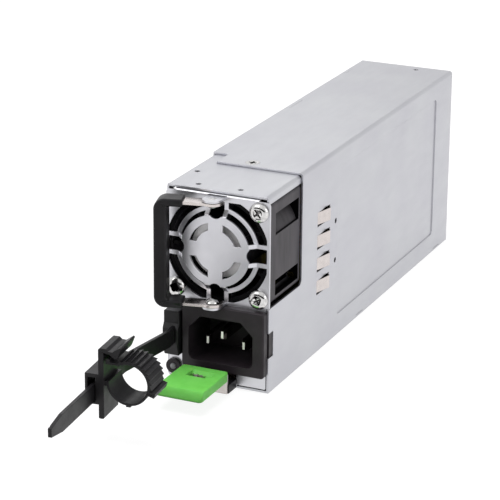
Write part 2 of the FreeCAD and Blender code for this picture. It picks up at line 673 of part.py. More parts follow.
ROTOR_START = SHEET + 0.6 + FAN_STATOR_DEPTH + 0.8
ROTOR_END = SHEET + FAN_DEPTH - 4.0
MAGNET_END = ROTOR_END - 4.1
MOTOR_END = ROTOR_END - 6.1
COIL_OVERHANG = 1.2      # of each coil beyond its pole


def blade(index):
    """One twisted blade, lofted between a root and a tip section on straight rails."""
    sections = []
    middle = (ROTOR_START + ROTOR_END) / 2
    for radius, pitch, chord in ((FAN_HUB - 1.2, 50.0, 11.0), (FAN_BORE + 0.4, 33.0, 12.5)):
        lean = math.radians(pitch)
        along = Vector(math.cos(lean), math.sin(lean), 0)
        normal = Vector(-along.y, along.x, 0)
        centre = Vector(0, front(middle), radius)
        points = [centre + along * (chord * s) + normal * (chord * t)
                  for s, t in ((-0.5, 0.0), (-0.1, 0.12), (0.5, 0.02), (0.5, -0.03), (-0.1, 0.04))]
        upper = Part.Arc(points[0], points[1], points[2]).toShape()
        tail = Part.LineSegment(points[2], points[3]).toShape()
        lower = Part.Arc(points[3], points[4], points[0]).toShape()
        sections.append(Part.Wire([upper, tail, lower]))
    envelope = rod(FAN_BORE - BLADE_GAP, Vector(0, front(ROTOR_START), 0), Y_AXIS * 25)
    shape = Part.makeLoft(sections, True, True).common(envelope)
    shape.rotate(Vector(), Y_AXIS, 360.0 * index / FAN_BLADES)
    shape.translate(Vector(0, 0, FAN_HEIGHT))
    return shape


def fan_rotor():
    cup = rod(FAN_HUB - 0.3, fan_centre(ROTOR_START), Y_AXIS * (ROTOR_END - ROTOR_START))
    hollow = rod(FAN_HUB - 1.5, fan_centre(ROTOR_START - 1), Y_AXIS * (ROTOR_END - ROTOR_START - 0.6))
    shaft = rod(SHAFT, fan_centre(ROTOR_END - 3), Y_AXIS * 6)
    wheel = joined(cup, *[blade(index) for index in range(FAN_BLADES)])
    return wheel.cut(joined(hollow, shaft))


def fan_shaft():
    return rod(SHAFT, fan_centre(6.0), Y_AXIS * (ROTOR_END - 6.0))


def fan_magnet():
    """Ring magnet inside the rotor's cup."""
    start = ROTOR_START + 1.5
    return tube(FAN_HUB - 1.5, FAN_HUB - 2.5, fan_centre(start), Y_AXIS * (MAGNET_END - start))


def fan_bearing():
    return tube(2.2, SHAFT + SHAFT_FIT, fan_centre(7.0), Y_AXIS * (MOTOR_END - 0.7 - 7.0))


def fan_stator():
    """Laminated star on the bearing post, with its four wound poles."""
    near, far = 9.5, MOTOR_END - COIL_OVERHANG
    core = tube(4.4, 3.0, fan_centre(near), Y_AXIS * (far - near))
    poles = []
    for turn in range(4):
        pole = deep_box((-1.1, 1.1), (near, far), (3.6, 7.2))
        shoe = tube(8.0, 7.0, Vector(0, front(near), 0), Y_AXIS * (far - near))
        shoe = shoe.common(deep_box((-4.2, 4.2), (near - 0.5, far + 0.5), (2.0, 9.0)))
        both = joined(pole, shoe)
        both.rotate(Vector(), Y_AXIS, 45 + 90 * turn)
        both.translate(Vector(0, 0, FAN_HEIGHT))
        poles.append(both)
    return joined(core, *poles)


def fan_coils():
    coils = []
    for turn in range(4):
        tooth = deep_box((-1.1, 1.1), (9.5, MOTOR_END - COIL_OVERHANG), (4.0, 8.0))
        coil = deep_box((-2.4, 2.4), (9.5 - COIL_OVERHANG, MOTOR_END), (4.6, 6.3)).cut(tooth)
        coil.rotate(Vector(), Y_AXIS, 45 + 90 * turn)
        coil.translate(Vector(0, 0, FAN_HEIGHT))
        coils.append(coil)
    return group(coils)


# ---------------------------------------------------------------- handle

def rest_turn(shape):
    """Turns a piece of the flat handle about its axis to where it rests."""
    shape.rotate(Vector(0, front(-HANDLE_PIVOT), 0), Z_AXIS, HANDLE_REST)
    return shape


def handle_grip():
    """Moulded bail: a bar with two arms, rounded all along, with sockets for the lugs."""
    low = FAN_HEIGHT - HANDLE_SPAN / 2
    high = FAN_HEIGHT + HANDLE_SPAN / 2
    outline = [(-HANDLE_ARM_START, low), (-HANDLE_ARM_START, low + HANDLE_ARM),
               (-HANDLE_REACH + HANDLE_BAR, low + HANDLE_ARM), (-HANDLE_REACH + HANDLE_BAR, high - HANDLE_ARM),
               (-HANDLE_ARM_START, high - HANDLE_ARM), (-HANDLE_ARM_START, high),
               (-HANDLE_REACH, high), (-HANDLE_REACH, low)]
    radii = [0.6, 0.6, 1.4, 1.4, 0.6, 0.6, HANDLE_CORNER, HANDLE_CORNER]
    near = front(-HANDLE_PIVOT) - HANDLE_WIDTH / 2
    bail = prism(outline, near, near + HANDLE_WIDTH, "Y", radii)
    rims = [edge for edge in bail.Edges
            if edge.BoundBox.YLength < 0.01 and edge.BoundBox.XMax < -HANDLE_ARM_START - 0.7]
    bail = bail.makeFillet(0.7, rims)
    sockets = [lug_strip(height) for height in lug_heights()]
    return rest_turn(bail.cut(joined(*sockets)))


def lug_heights():
    top = top_tab_height() - LUG_GAP - LUG
    bottom = bottom_tab_height() + SHEET + LUG_GAP
    return bottom, top


def lug_strip(height):
    """Flat lug: a round eye on the axis and a neck that runs into the grip."""
    centre = Vector(0, front(-HANDLE_PIVOT), height)
    eye = rod(LUG_EYE, centre, Z_AXIS * LUG)
    end = -HANDLE_REACH + HANDLE_BAR - 0.6
    half = LUG_NECK / 2
    y = front(-HANDLE_PIVOT)
    neck = prism([(0, y - half - 0.8), (end, y - half), (end, y + half), (0, y + half + 0.8)],
                 height, height + LUG, "Z")
    return joined(eye, neck)


def handle_lugs():
    lugs = []
    for height in lug_heights():
        hole = rod(RIVET + RIVET_FIT, Vector(0, front(-HANDLE_PIVOT), height - 1), Z_AXIS * 4)
        lugs.append(rest_turn(lug_strip(height).cut(hole)))
    return group(lugs)


def handle_rivets():
    """Domed rivets staked into the face plate's tabs; the lugs turn on their shanks."""
    bottom, top = lug_heights()
    rivets = []
    for seat, tab_side, outward in ((bottom + LUG, bottom_tab_height(), Z_AXIS),
                                    (top, top_tab_height() + SHEET, -Z_AXIS)):
        base = Vector(0, front(-HANDLE_PIVOT), seat) + outward * 0.1
        end = Vector(0, front(-HANDLE_PIVOT), tab_side)
        shank = rod(RIVET, base, end - base)
        ball = Part.makeSphere(2.6, base - outward * 1.1)
        head = rod(2.35, base, outward * 3).common(ball)
        rivets.append(joined(shank, head))
    return group(rivets)


# ---------------------------------------------------------------- mains inlet

def inlet_outline(drop):
    """Rectangle of the inlet's frame, drawn in by a margin."""
    half_x = INLET_FRAME[0] / 2 - drop
    half_z = INLET_FRAME[1] / 2 - drop
    x, z = INLET_CENTRE
    return rectangle((x - half_x, x + half_x), (z - half_z, z + half_z))


def inlet_body(margin):
    """Outline of the body behind the frame, enlarged by a margin."""
    outline = inlet_outline(INLET_BODY_DROP - margin)
    right = INLET_CENTRE[0] + INLET_FRAME[0] / 2 - INLET_BODY_RIGHT + margin
    return [(min(x, right), z) for x, z in outline]


def inlet_mouth():
    """Outline of the opening: two cut corners at the top and two round ones below."""
    x = INLET_CENTRE[0] + INLET_OPENING_OFFSET[0]
    z = INLET_CENTRE[1] + INLET_OPENING_OFFSET[1]
    half_x = INLET_OPENING[0] / 2
    half_z = INLET_OPENING[1] / 2
    cut = INLET_CHAMFER
    points = [(x - half_x, z - half_z), (x + half_x, z - half_z), (x + half_x, z + half_z - cut),
              (x + half_x - cut, z + half_z), (x - half_x + cut, z + half_z), (x - half_x, z + half_z - cut)]
    return points, [2.4, 2.4, 0.8, 0.8, 0.8, 0.8]


def inlet_housing():
    near = front(-INLET_PROUD)
    frame = prism(inlet_outline(0), near, front(0), "Y", 1.2)
    rim = [edge for edge in frame.Edges
           if edge.BoundBox.YLength < 0.01 and abs(edge.BoundBox.YMin - near) < 0.01]
    frame = frame.makeFillet(0.6, rim)
    back = front(-INLET_PROUD + INLET_DEPTH + INLET_WALL)
    body = prism(inlet_body(0), front(0), back, "Y", 0.5)
    mouth, radii = inlet_mouth()
    cavity = prism(mouth, near - 1, front(-INLET_PROUD + INLET_DEPTH), "Y", radii)
    ear_x = INLET_CENTRE[0] + INLET_FRAME[0] / 2 - INLET_BODY_RIGHT - 0.5
    ear = deep_box((ear_x, RIGHT - 0.3), (SHEET + SEAM, EAR_DEPTH - 0.2), (EAR[0] + 0.2, EAR[1] - 0.2))
    housing = joined(frame, body, ear)
    slots = [box((x - PIN_SIZE[0] / 2, x + PIN_SIZE[0] / 2), (back - 3, back + 1),
                 (z - PIN_SIZE[1] / 2, z + PIN_SIZE[1] / 2)) for x, z, _ in pin_places()]
    return housing.cut(joined(cavity, *slots))


def pin_places():
    """X, Z and tip depth of the two line pins and the earth pin."""
    x = INLET_CENTRE[0] + INLET_OPENING_OFFSET[0]
    z = INLET_CENTRE[1] + INLET_OPENING_OFFSET[1]
    low = z - PIN_RISE / 2
    return ((x - PIN_PITCH / 2, low, PIN_TIP[0]), (x + PIN_PITCH / 2, low, PIN_TIP[0]),
            (x, z + PIN_RISE / 2, PIN_TIP[1]))


def inlet_pins():
    """Three blades with chamfered tips and narrower solder tags behind."""
    back = INLET_DEPTH - INLET_PROUD + INLET_WALL
    pins = []
    for x, z, tip in pin_places():
        half = PIN_SIZE[1] / 2
        outline = [(front(tip), z - half + 0.7), (front(tip + 1.2), z - half), (front(back), z - half),
                   (front(back), z - half + 1), (front(back + 6), z - half + 1), (front(back + 6), z + half - 1),
                   (front(back), z + half - 1), (front(back), z + half), (front(tip + 1.2), z + half),
                   (front(tip), z + half - 0.7)]
        blade_pin = prism(outline, x - PIN_SIZE[0] / 2, x + PIN_SIZE[0] / 2, "X")
        sides = [prism([(x + side * PIN_FLAT / 2, front(tip) - 0.1), (x + side * 2, front(tip) - 0.1),
                        (x + side * 2, front(tip + 1.6)), (x + side * PIN_SIZE[0] / 2, front(tip + 1.6))],
                       z - half, z + half, "Z") for side in (-1, 1)]
        pins.append(blade_pin.cut(joined(*sides)))
    return group(pins)


# ---------------------------------------------------------------- left column

def strap_anchor():
    """Block that holds the strap's root: faceted in front, with a plug through the face plate."""
    left, right = ANCHOR
    profile = [(front(depth), z) for depth, z in ANCHOR_PROFILE]
    block = prism(profile, left, right, "X", [0, 0.4, 0.8, 0.8, 0.8, 0.4, 0])
    upright = [edge for edge in block.Edges
               if edge.BoundBox.XLength < 0.01 and edge.BoundBox.YMax < front(-1.0)]
    block = block.makeChamfer(0.35, upright)
    plug = deep_box((left + 1.3, right - 1.3), (-0.5, 3.0), ANCHOR_PLUG)
    return joined(block, plug).cut(strap_ribbon())


def lamp_ring():
    x, z = LAMP
    collar = tube(LAMP_RING, LAMP_LENS + 0.05, Vector(x, front(-1.3), z), Y_AXIS * 1.3)
    sleeve = tube(LAMP_LENS + 0.6, LAMP_LENS + 0.05, Vector(x, front(0), z), Y_AXIS * 5.0)
    return joined(collar, sleeve)


def lamp_lens():
    x, z = LAMP
    pipe = rod(LAMP_LENS, Vector(x, front(-1.0), z), Y_AXIS * 6.0)
    dome = Part.makeSphere(LAMP_LENS, Vector(x, front(-1.0), z))
    return joined(pipe, dome)


# ---------------------------------------------------------------- latch

def latch_cap():
    """Moulded green cap on the lever's tongue: rounded slab with a sloping nose and a slot."""
    left, right, low, high = LATCH_CAP
    back = front(-LATCH_PLATE + 0.4)
    nose = front(-LATCH_PLATE - LATCH_CAP_LENGTH)
    plan = rectangle((left, right), (nose, back))
    slab = prism(plan, low, high, "Z", [3.0, 2.2, 1.6, 1.6])
    wedge = prism([(nose - 1, high + 1), (nose + 2.2, high + 1), (nose + 2.2, high), (nose, low + 0.6),
                   (nose - 1, low + 0.6)], left - 1, right + 1, "X")
    rims = [edge for edge in slab.Edges if abs(edge.BoundBox.ZMin - high) < 0.01]
    slab = slab.makeFillet(0.6, rims).cut(wedge)
    slot = box((-5.0, 3.0), (front(-15.4), front(-12.4)), (low - 1, high + 1))
    under = box((left + 1.4, right - 1.4), (nose + 2.0, back - 9.0), (low - 2, low + 0.9))
    return slab.cut(joined(slot, under, lever_front()))


def lever_front():
    """Upright and forward tongue of the lever, which the cap is moulded round."""
    top = LATCH_CAP[2] + 1.5 + LATCH_METAL
    upright = front(-LATCH_PLATE)
    plate = box((-9.0, 7.4), (upright, upright + LATCH_METAL), (0.3, top))
    tongue = box((-7.5, 5.5), (front(-18.0), upright + LATCH_METAL), (top - LATCH_METAL, top))
    window = box((-3.6, 0.4), (front(-15.2), front(-13.6)), (top - 2, top + 1))
    return joined(plate, tongue).cut(window)


def latch_lever():
    """Nickel-plated lever: floor strip, upright, tongue, knuckles on the pin and the tooth."""
    depth, height = LATCH_PIVOT
    floor = SHEET + LATCH_FLOOR_GAP
    upright = front(-LATCH_PLATE)
    base = box((-7.0, 5.0), (upright, front(depth - 2.2)), (floor, floor + LATCH_METAL))
    ramp = prism([(front(depth - 2.6), floor), (front(depth - 2.2), floor), (front(depth - 0.6), height - 1.6),
                  (front(depth - 1.6), height - 0.6), (front(depth - 2.6), floor + LATCH_METAL)], -7.0, 5.0, "X")
    eyes = [tube(LATCH_PIN + LATCH_PIN_FIT + LATCH_METAL, LATCH_PIN + LATCH_PIN_FIT,
                 Vector(x, front(depth), height), X_AXIS * 3.0) for x in (-7.0, 2.0)]
    gap = box((-4.0, 2.0), (front(depth - 3.4), front(depth + 3)), (floor - 0.1, height + 3))
    tooth = prism([(front(10.0), floor), (front(11.0), 0.05), (front(14.6), 0.05), (front(15.0), floor)],
                  -4.0, 2.0, "X")
    bore = rod(LATCH_PIN + LATCH_PIN_FIT, Vector(-9.0, front(depth), height), X_AXIS * 18)
    lever = joined(base, lever_front(), ramp.cut(gap), tooth, *eyes)
    return lever.cut(bore)


def latch_block():
    """Black stop block behind the lever's upright."""
    y = front(-LATCH_PLATE) + LATCH_METAL
    floor = SHEET + LATCH_FLOOR_GAP + LATCH_METAL
    block = box((-9.0, 7.7), (y, front(-0.3)), (0.3, 3.4))
    relief = box((-7.0, 5.0), (y - 1, front(1)), (0, floor))
    return block.cut(relief)


def latch_pin():
    depth, height = LATCH_PIVOT
    return rod(LATCH_PIN, Vector(-9.0, front(depth), height), X_AXIS * 16)


def latch_spring():
    """Leaf spring: welded to the lever's floor strip, bowed up to press under the inlet."""
    seat = SHEET + LATCH_FLOOR_GAP + LATCH_METAL
    crest = INLET_CENTRE[1] - INLET_FRAME[1] / 2 + INLET_BODY_DROP
    path = [(front(33.0), seat), (front(27.0), seat), (front(13.0), crest - 0.3), (front(10.0), crest - 0.3),
            (front(8.0), crest - 1.2)]
    return bent_sheet(path, -4.0, 2.0, "X", -SPRING_LEAF, 1.0)


# ---------------------------------------------------------------- cord strap and clamp

def strap_points():
    return [(x, front(depth)) for x, depth in STRAP_ROUTE]


def strap_ribbon():
    """Upright ribbon along the strap's route, with its thickness centred on it."""
    points = [Vector(x, y, 0) for x, y in strap_points()]
    edge = [(p.x, p.y) for p in offset_path(points, -STRAP / 2)]
    outline, radii = strip(edge, STRAP, STRAP_BEND)
    low = STRAP_CENTRE - STRAP_HEIGHT / 2
    return prism(outline, low, low + STRAP_HEIGHT, "Z", radii)


def offset_path(points, distance):
    """Path moved sideways, to the left when the distance is positive."""
    runs = [(b - a).normalize() for a, b in zip(points, points[1:])]
    normals = [Vector(-run.y, run.x, 0) for run in runs]
    moved = []
    for index, point in enumerate(points):
        first = normals[max(index - 1, 0)]
        second = normals[min(index, len(normals) - 1)]
        moved.append(point + (first + second) * (distance / (1 + first.dot(second))))
    return moved


def tail_frame():
    """Start of the straight tail, its direction and the turn that lines a piece up with it."""
    points = [Vector(x, y, 0) for x, y in strap_points()]
    along = (points[-1] - points[-2]).normalize()
    angle = math.degrees(math.atan2(along.x, -along.y))
    return points[-2], along, angle


def cord_strap():
    """Nylon strap with a tapered tip and fine ratchet ribs on one side of its tail."""
    start, along, angle = tail_frame()
    ribbon = strap_ribbon()
    tip = strap_points()[-1]
    low = STRAP_CENTRE - STRAP_HEIGHT / 2
    cutters = []
    for side in (-1, 1):
        edge = STRAP_CENTRE + side * STRAP_HEIGHT / 2
        wedge = prism([(-1, edge + side * 1), (-1, edge - side * 1.6), (0, edge - side * 1.6),
                       (9, edge), (9, edge + side * 1)], -5, 5, "X")
        wedge.rotate(Vector(), Z_AXIS, angle)
        wedge.translate(Vector(tip[0], tip[1], 0))
        cutters.append(wedge)
    for index in range(34):
        reach = 12.0 + index * 1.5
        rib = box((-STRAP / 2 - 0.05, -STRAP / 2 + 0.2), (-0.35, 0.35), (low + 1.2, low + STRAP_HEIGHT - 1.2))
        rib.rotate(Vector(), Z_AXIS, angle)
        rib.translate(start + along * reach)
        cutters.append(rib)
    return ribbon.cut(Part.makeCompound(cutters))


def on_strap(shape):
    """Carries a piece from the clamp's own axes to its place on the tail."""
    start, along, angle = tail_frame()
    shape.rotate(Vector(), Z_AXIS, angle)
    shape.translate(start + along * CLAMP_FROM_BEND)
    return shape


def clamp_box(x, z, depth=CLAMP_DEPTH):
    return box(x, (-depth / 2, depth / 2), z)


RING_DEPTH = CLAMP_DEPTH - 2 * RING_SETBACK


def ring_sector(start, end):
    """Part of the clamp's ring between two angles, counted from +X up towards +Z."""
    half = RING_DEPTH / 2
    outer = RING_BORE + RING_WALL
    corners = [Vector(x, y, 0) for x, y in rectangle((RING_BORE, outer), (-half, half))]
    section = Part.Face(Part.makePolygon(corners + corners[:1]))
    sector = section.revolve(Vector(), -Y_AXIS, end - start)
    return on_ring(sector, start)


def on_ring(shape, angle):
    """Turns a piece about the ring's axis and moves it onto the ring."""
    shape.rotate(Vector(), Y_AXIS, -angle)
    shape.translate(Vector(RING_CENTRE[0], 0, RING_CENTRE[1]))
    return shape


def ear_half(side):
    """Half of the ring's ear: a thin radial flange on one side of the living hinge."""
    flange = clamp_box((RING_BORE + 0.2, RING_EAR[1]), sorted((0.1 * side, 0.8 * side)), RING_DEPTH)
    return on_ring(flange, RING_EAR[0])


def cable_clamp():
    """Moulded clamp body: strap channel, back plate and the ring's lower jaw."""
    outer = RING_BORE + RING_WALL
    x, z = RING_CENTRE
    channel = clamp_box(CLAMP_BOX[:2], CLAMP_BOX[2:])
    passage = clamp_box(CLAMP_CHANNEL[:2], CLAMP_CHANNEL[2:], CLAMP_DEPTH + 2)
    plate = prism(rectangle(CLAMP_PLATE[:2], CLAMP_PLATE[2:]), -CLAMP_DEPTH / 2, CLAMP_DEPTH / 2, "Y",
                  [0.5, 0.5, 0, 0])
    jaw = ring_sector(180.0, 360.0 + RING_EAR[0] - 1.0)
    web = clamp_box((CLAMP_PLATE[1] - 0.2, x - RING_BORE - 0.2), (z - 1.6, z), RING_DEPTH)
    nub = clamp_box((x - 0.8, x + 0.8), (z - outer - 0.5, z - outer + 0.3), RING_DEPTH)
    wall = CLAMP_CHANNEL[0]
    tongue = prism([(wall - 0.3, 3.0), (wall - 0.3, 1.4), (wall + CLAMP_TONGUE, -2.4), (wall + CLAMP_TONGUE, -1.8)],
                   STRAP_CENTRE - 2.0, STRAP_CENTRE + 2.0, "Z")
    shell = joined(channel, plate, jaw, web, nub, ear_half(-1)).cut(passage)
    return on_strap(joined(shell, tongue))


def clamp_band():
    """Ring's upper band: ratchet teeth outside, an ear at one end and a beaded tail at the other."""
    outer = RING_BORE + RING_WALL
    half = RING_DEPTH / 2
    band = ring_sector(RING_EAR[0] + 1.0, RING_END)
    lean = math.radians(RING_END)
    inside, outside = [(RING_CENTRE[0] + radius * math.cos(lean), RING_CENTRE[1] + radius * math.sin(lean))
                       for radius in (RING_BORE, outer)]
    x, z = BAND_TAIL
    tail = prism([inside, outside, (x, z + RING_WALL), (x, z)], -half, half, "Y")
    bead = rod(0.8, Vector(x + 0.7, -half, z + 1.1), Y_AXIS * RING_DEPTH)
    length = outer * math.radians(TOOTH_PITCH)
    teeth = []
    for index in range(RING_TEETH):
        tooth = prism([(outer - 0.3, 0.0), (outer + TOOTH, 0.0), (outer + TOOTH, 0.15), (outer - 0.3, length)],
                      -half, half, "Y")
        teeth.append(on_ring(tooth, RING_EAR[0] + 9.0 + TOOTH_PITCH * index))
    return on_strap(joined(band, tail, bead, ear_half(1), *teeth))


def clamp_pawl():
    """Release lever: a hump from the plate's top, a hook over the band and a thumb fin."""
    left, right = CLAMP_PLATE[:2]
    top = CLAMP_PLATE[3] + PAWL_GAP
    outline = [(left, top), (right, top), (right + 2.2, top - 0.4), (right + 3.9, top - 1.7), (right + 4.7, top - 1.7),
               (right + 5.2, top - 1.0), (right + 6.4, top + 2.1), (right + 5.9, top + 2.4), (right + 3.2, top + 0.5),
               (right + 1.7, top + 0.6), (right + 0.9, top + 1.4), (left, top + 1.4)]
    radii = [0, 0, 0.4, 0.2, 0.2, 0.2, 0.2, 0.2, 0.5, 0.3, 0.4, 0.8]
    return on_strap(prism(outline, -CLAMP_DEPTH / 2, CLAMP_DEPTH / 2, "Y", radii))


# ---------------------------------------------------------------- spring fingers

def emi_fingers():
    """Leaf fingers that rise through the cover's windows and turn back in."""
    inner = RIGHT - SHEET - FINGER_SHEET - 0.1
    crest = RIGHT + FINGER_PROUD
    near, far = FINGER_WINDOW[:2]
    path = [(inner, front(near + 0.5)), (inner + 0.4, front(near + 1.2)), (crest, front(far - 2.6)),
            (crest - 0.5, front(far - 1.4)), (inner - 0.3, front(far - 0.6))]
    leaves = []
    for height in finger_heights():
        half = FINGER_WIDTH / 2
        leaves.append(bent_sheet(path, height - half, height + half, "Z", FINGER_SHEET, 0.2))
    return group(leaves)


def emi_strip():
    """Carrier strip fixed inside the cover, which the fingers spring from."""
    outside = RIGHT - SHEET
    near = FINGER_WINDOW[0]
    half = FINGER_WINDOW[2] / 2
    heights = finger_heights()
    return deep_box((outside - FINGER_SHEET, outside), (near - 5.0, near - 0.05), (heights[-1] - half, heights[0] + half))


# ---------------------------------------------------------------- circuit board

def main_board():
    far, low, high = BOARD_SPAN
    plate = deep_box((BOARD_BACK, BOARD_FACE), (BOARD_FRONT, far), (low, high))
    edge = deep_box((BOARD_BACK, BOARD_FACE), (far, CASE_LENGTH + EDGE_PROUD), EDGE_SPAN)
    key = deep_box((BOARD_BACK - 1, BOARD_FACE + 1), (CASE_LENGTH, CASE_LENGTH + EDGE_PROUD + 1), (42.0, 43.4))
    holes = [rod(1.2, Vector(BOARD_BACK - 1, front(d), z), X_AXIS * 4) for d, z in STANDOFFS]
    return joined(plate, edge).cut(joined(key, *holes))


def edge_contacts():
    """Gold pads on both faces of the card edge."""
    low, high = EDGE_SPAN
    pitch = (high - low) / EDGE_CONTACTS
    pads = []
    for index in range(EDGE_CONTACTS):
        middle = low + pitch * (index + 0.5)
        if 41.0 < middle < 44.4:
            continue
        half = pitch * 0.32
        for x in ((BOARD_BACK - 0.06, BOARD_BACK), (BOARD_FACE, BOARD_FACE + 0.06)):
            pads.append(deep_box(x, (CASE_LENGTH + 0.6, CASE_LENGTH + EDGE_PROUD - 0.6), (middle - half, middle + half)))
    return group(pads)


def standoffs():
    inside = LEFT + SHEET
    pillars = []
    for depth, height in STANDOFFS:
        corners = [(front(depth) + STANDOFF_RADIUS * math.cos(math.radians(60 * k)),
                    height + STANDOFF_RADIUS * math.sin(math.radians(60 * k))) for k in range(6)]
        pillar = prism(corners, inside, inside + BOARD_STANDOFF, "X")
        pillars.append(pillar.cut(rod(1.2, Vector(inside, front(depth), height), X_AXIS * BOARD_STANDOFF)))
    return group(pillars)


def board_screws():
    screws = []
    for depth, height in STANDOFFS:
        seat = Vector(BOARD_FACE, front(depth), height)
        head = rod(2.2, seat, X_AXIS * 1.5)
        shank = rod(1.15, seat, X_AXIS * -(BOARD + 2.4))
        recess = cross_recess(1.3, 0.8, seat + X_AXIS * 1.6, -X_AXIS, Y_AXIS, Z_AXIS)
        screws.append(joined(head, shank).cut(recess))
    return group(screws)


def insulating_film():
    """Polyester film between the board and the tray, pierced for the standoffs."""
    inside = LEFT + SHEET
    film = deep_box((inside, inside + FILM), (BOARD_FRONT - 2.0, CASE_LENGTH - 10.5), (2.0, 70.0))
    holes = [rod(STANDOFF_RADIUS + 0.4, Vector(inside - 1, front(d), z), X_AXIS * 4) for d, z in STANDOFFS]
    return film.cut(joined(*holes))


def on_board(build):
    """Part of the board's layout, which moves with the board's front edge."""
    def moved():
        shape = build()
        shape.translate(Y_AXIS * LAYOUT_SHIFT)
        return shape
    return moved


def board_box(size, depth, height, lift=0.0, radius=0.6):
    """Rounded case that stands on the board: size is its rise, depth and height."""
    rise, along, up = size
    outline = rectangle((front(depth), front(depth + along)), (height, height + up))
    return prism(outline, BOARD_FACE + lift, BOARD_FACE + lift + rise, "X", radius)


def toroid(depth, height, radius, section, lift):
    """Ring core that lies flat on the board."""
    centre = Vector(BOARD_FACE + lift, front(depth), height)
    return tube(radius + section, radius - section, centre, X_AXIS * 2 * section)


def wound_segment(depth, height, radius, section, lift, start, sweep, wire):
    """Stretch of winding round a toroid, as a fatter part-ring over the core."""
    centre = Vector(BOARD_FACE + lift, front(depth), height)
    corners = [Vector(x, y, 0) for x, y in rectangle((-wire, 2 * section + wire),
                                                     (radius - section - wire, radius + section + wire))]
    coil = Part.Face(Part.makePolygon(corners + corners[:1])).revolve(Vector(), X_AXIS, sweep)
    coil.rotate(Vector(), X_AXIS, start)
    coil.translate(centre)
    return coil.cut(tube(radius + section, radius - section, centre, X_AXIS * 2 * section))


CHOKES = ((53.0, 57.0), (53.0, 21.0))


@on_board
def filter_cores():
    return group([toroid(d, z, 7.0, 3.0, 1.3) for d, z in CHOKES])


@on_board
def filter_windings():
    return group([wound_segment(d, z, 7.0, 3.0, 1.3, start, 130, 1.3)
                  for d, z in CHOKES for start in (25, 205)])


@on_board
def pfc_core():
    return toroid(96.0, 18.5, 9.5, 4.0, 1.2)


@on_board
def pfc_winding():
    return wound_segment(96.0, 18.5, 9.5, 4.0, 1.2, 20, 320, 1.2)


@on_board
def film_capacitors():
    return group([board_box((14.0, 7.0, 11.0), 39.0, 32.5), board_box((17.0, 9.0, 20.0), 68.0, 8.0),
                  board_box((12.0, 7.0, 15.0), 70.0, 30.0)])


@on_board
def safety_capacitors():
    discs = []
    for depth in (60.0, 64.5):
        disc = rod(4.0, Vector(BOARD_FACE + 4.6, front(depth), 35.2), Y_AXIS * 3.0)
        lead = deep_box((BOARD_FACE, BOARD_FACE + 1.6), (depth + 1.1, depth + 1.9), (31.8, 38.6))
        discs.append(joined(disc, lead))
    return group(discs)


@on_board
def fuse():
    """Cartridge fuse with its end caps, held above the board by two clips."""
    centre = Vector(BOARD_FACE + 3.2, front(48.0), 42.0)
    barrel = rod(2.3, centre, Y_AXIS * 16)
    caps = [rod(2.6, centre + Y_AXIS * step, Y_AXIS * 4) for step in (-0.5, 12.5)]
    clips = [deep_box((BOARD_FACE, BOARD_FACE + 2.0), (depth, depth + 2), (41.4, 42.6)) for depth in (48.5, 61.5)]
    return joined(barrel, *caps, *clips)


@on_board
def relay():
    return board_box((15.5, 13.5, 18.5), 66.5, 46.8)


@on_board
def thermistor():
    disc = rod(5.0, Vector(BOARD_FACE + 5.6, front(82.5), 40.0), Y_AXIS * 4.0)
    leg = deep_box((BOARD_FACE, BOARD_FACE + 1.6), (84.0, 85.0), (36.5, 43.5))
    return joined(disc, leg)


@on_board
def bulk_capacitor():
    """Large can lying along the case, with a crimped groove and a sleeve."""
    radius = 14.0
    axis_x = BOARD_FACE + 0.8 + radius
    can = rod(radius, Vector(axis_x, front(88.0), 50.6), Y_AXIS * 42)
    groove = tube(radius + 1, radius - 0.8, Vector(axis_x, front(90.2), 50.6), Y_AXIS * 1.4)
    saddle = deep_box((BOARD_FACE, axis_x - 8), (96.0, 122.0), (46.6, 54.6)).cut(can)
    return joined(can.cut(groove), saddle)


@on_board
def primary_heatsink():
    """Aluminium plate on edge with cooling fins towards the air stream."""
    plate = deep_box((BOARD_FACE, 14.0), (88.0, 147.0), (65.6, 67.6))
    fins = [deep_box((BOARD_FACE + 4.0 + 4.2 * k, BOARD_FACE + 5.0 + 4.2 * k), (90.0, 145.0), (67.4, 71.2))
            for k in range(6)]
    foot = deep_box((BOARD_FACE, BOARD_FACE + 2.0), (88.0, 147.0), (65.6, 69.0))
    return joined(plate, foot, *fins)


def power_package(depth, flat, side, lift=3.0):
    """Transistor package: a moulded body, its metal tab and three legs, flat against a heatsink."""
    body = deep_box((BOARD_FACE + lift, BOARD_FACE + lift + 9.0), (depth, depth + 10.0), sorted((flat, flat + side * 4.4)))
    tab = deep_box((BOARD_FACE + lift + 9.0, BOARD_FACE + lift + 15.0), (depth, depth + 10.0), sorted((flat, flat + side * 1.3)))
    legs = [deep_box((BOARD_FACE, BOARD_FACE + lift), (depth + 1.9 + 2.54 * k, depth + 2.9 + 2.54 * k),
                     sorted((flat + side * 1.8, flat + side * 2.4))) for k in range(3)]
    return joined(body, tab, *legs)


@on_board
def power_transistors():
    places = ((134.0, 65.6), (158.0, 27.0), (158.0, 45.0))
    return group([power_package(depth, height, -1) for depth, height in places])


@on_board
def bridge_rectifier():
    return board_box((16.0, 18.0, 4.2), 68.0, 66.0)


@on_board
def transformer_core():
    """Two E-shaped ferrite halves closed round the winding."""
    low, high = 4.5, 34.5
    near, far = 116.0, 148.0
    shell = deep_box((BOARD_FACE + 3.0, BOARD_FACE + 27.0), (near, far), (low, high))
    window = deep_box((BOARD_FACE + 2.0, BOARD_FACE + 28.0), (near + 5.5, far - 5.5), (low + 6.0, high - 6.0))
    leg = rod(5.0, Vector(BOARD_FACE + 15.0, front((near + far) / 2), low + 5), Z_AXIS * (high - low - 10))
    return joined(shell.cut(window), leg)


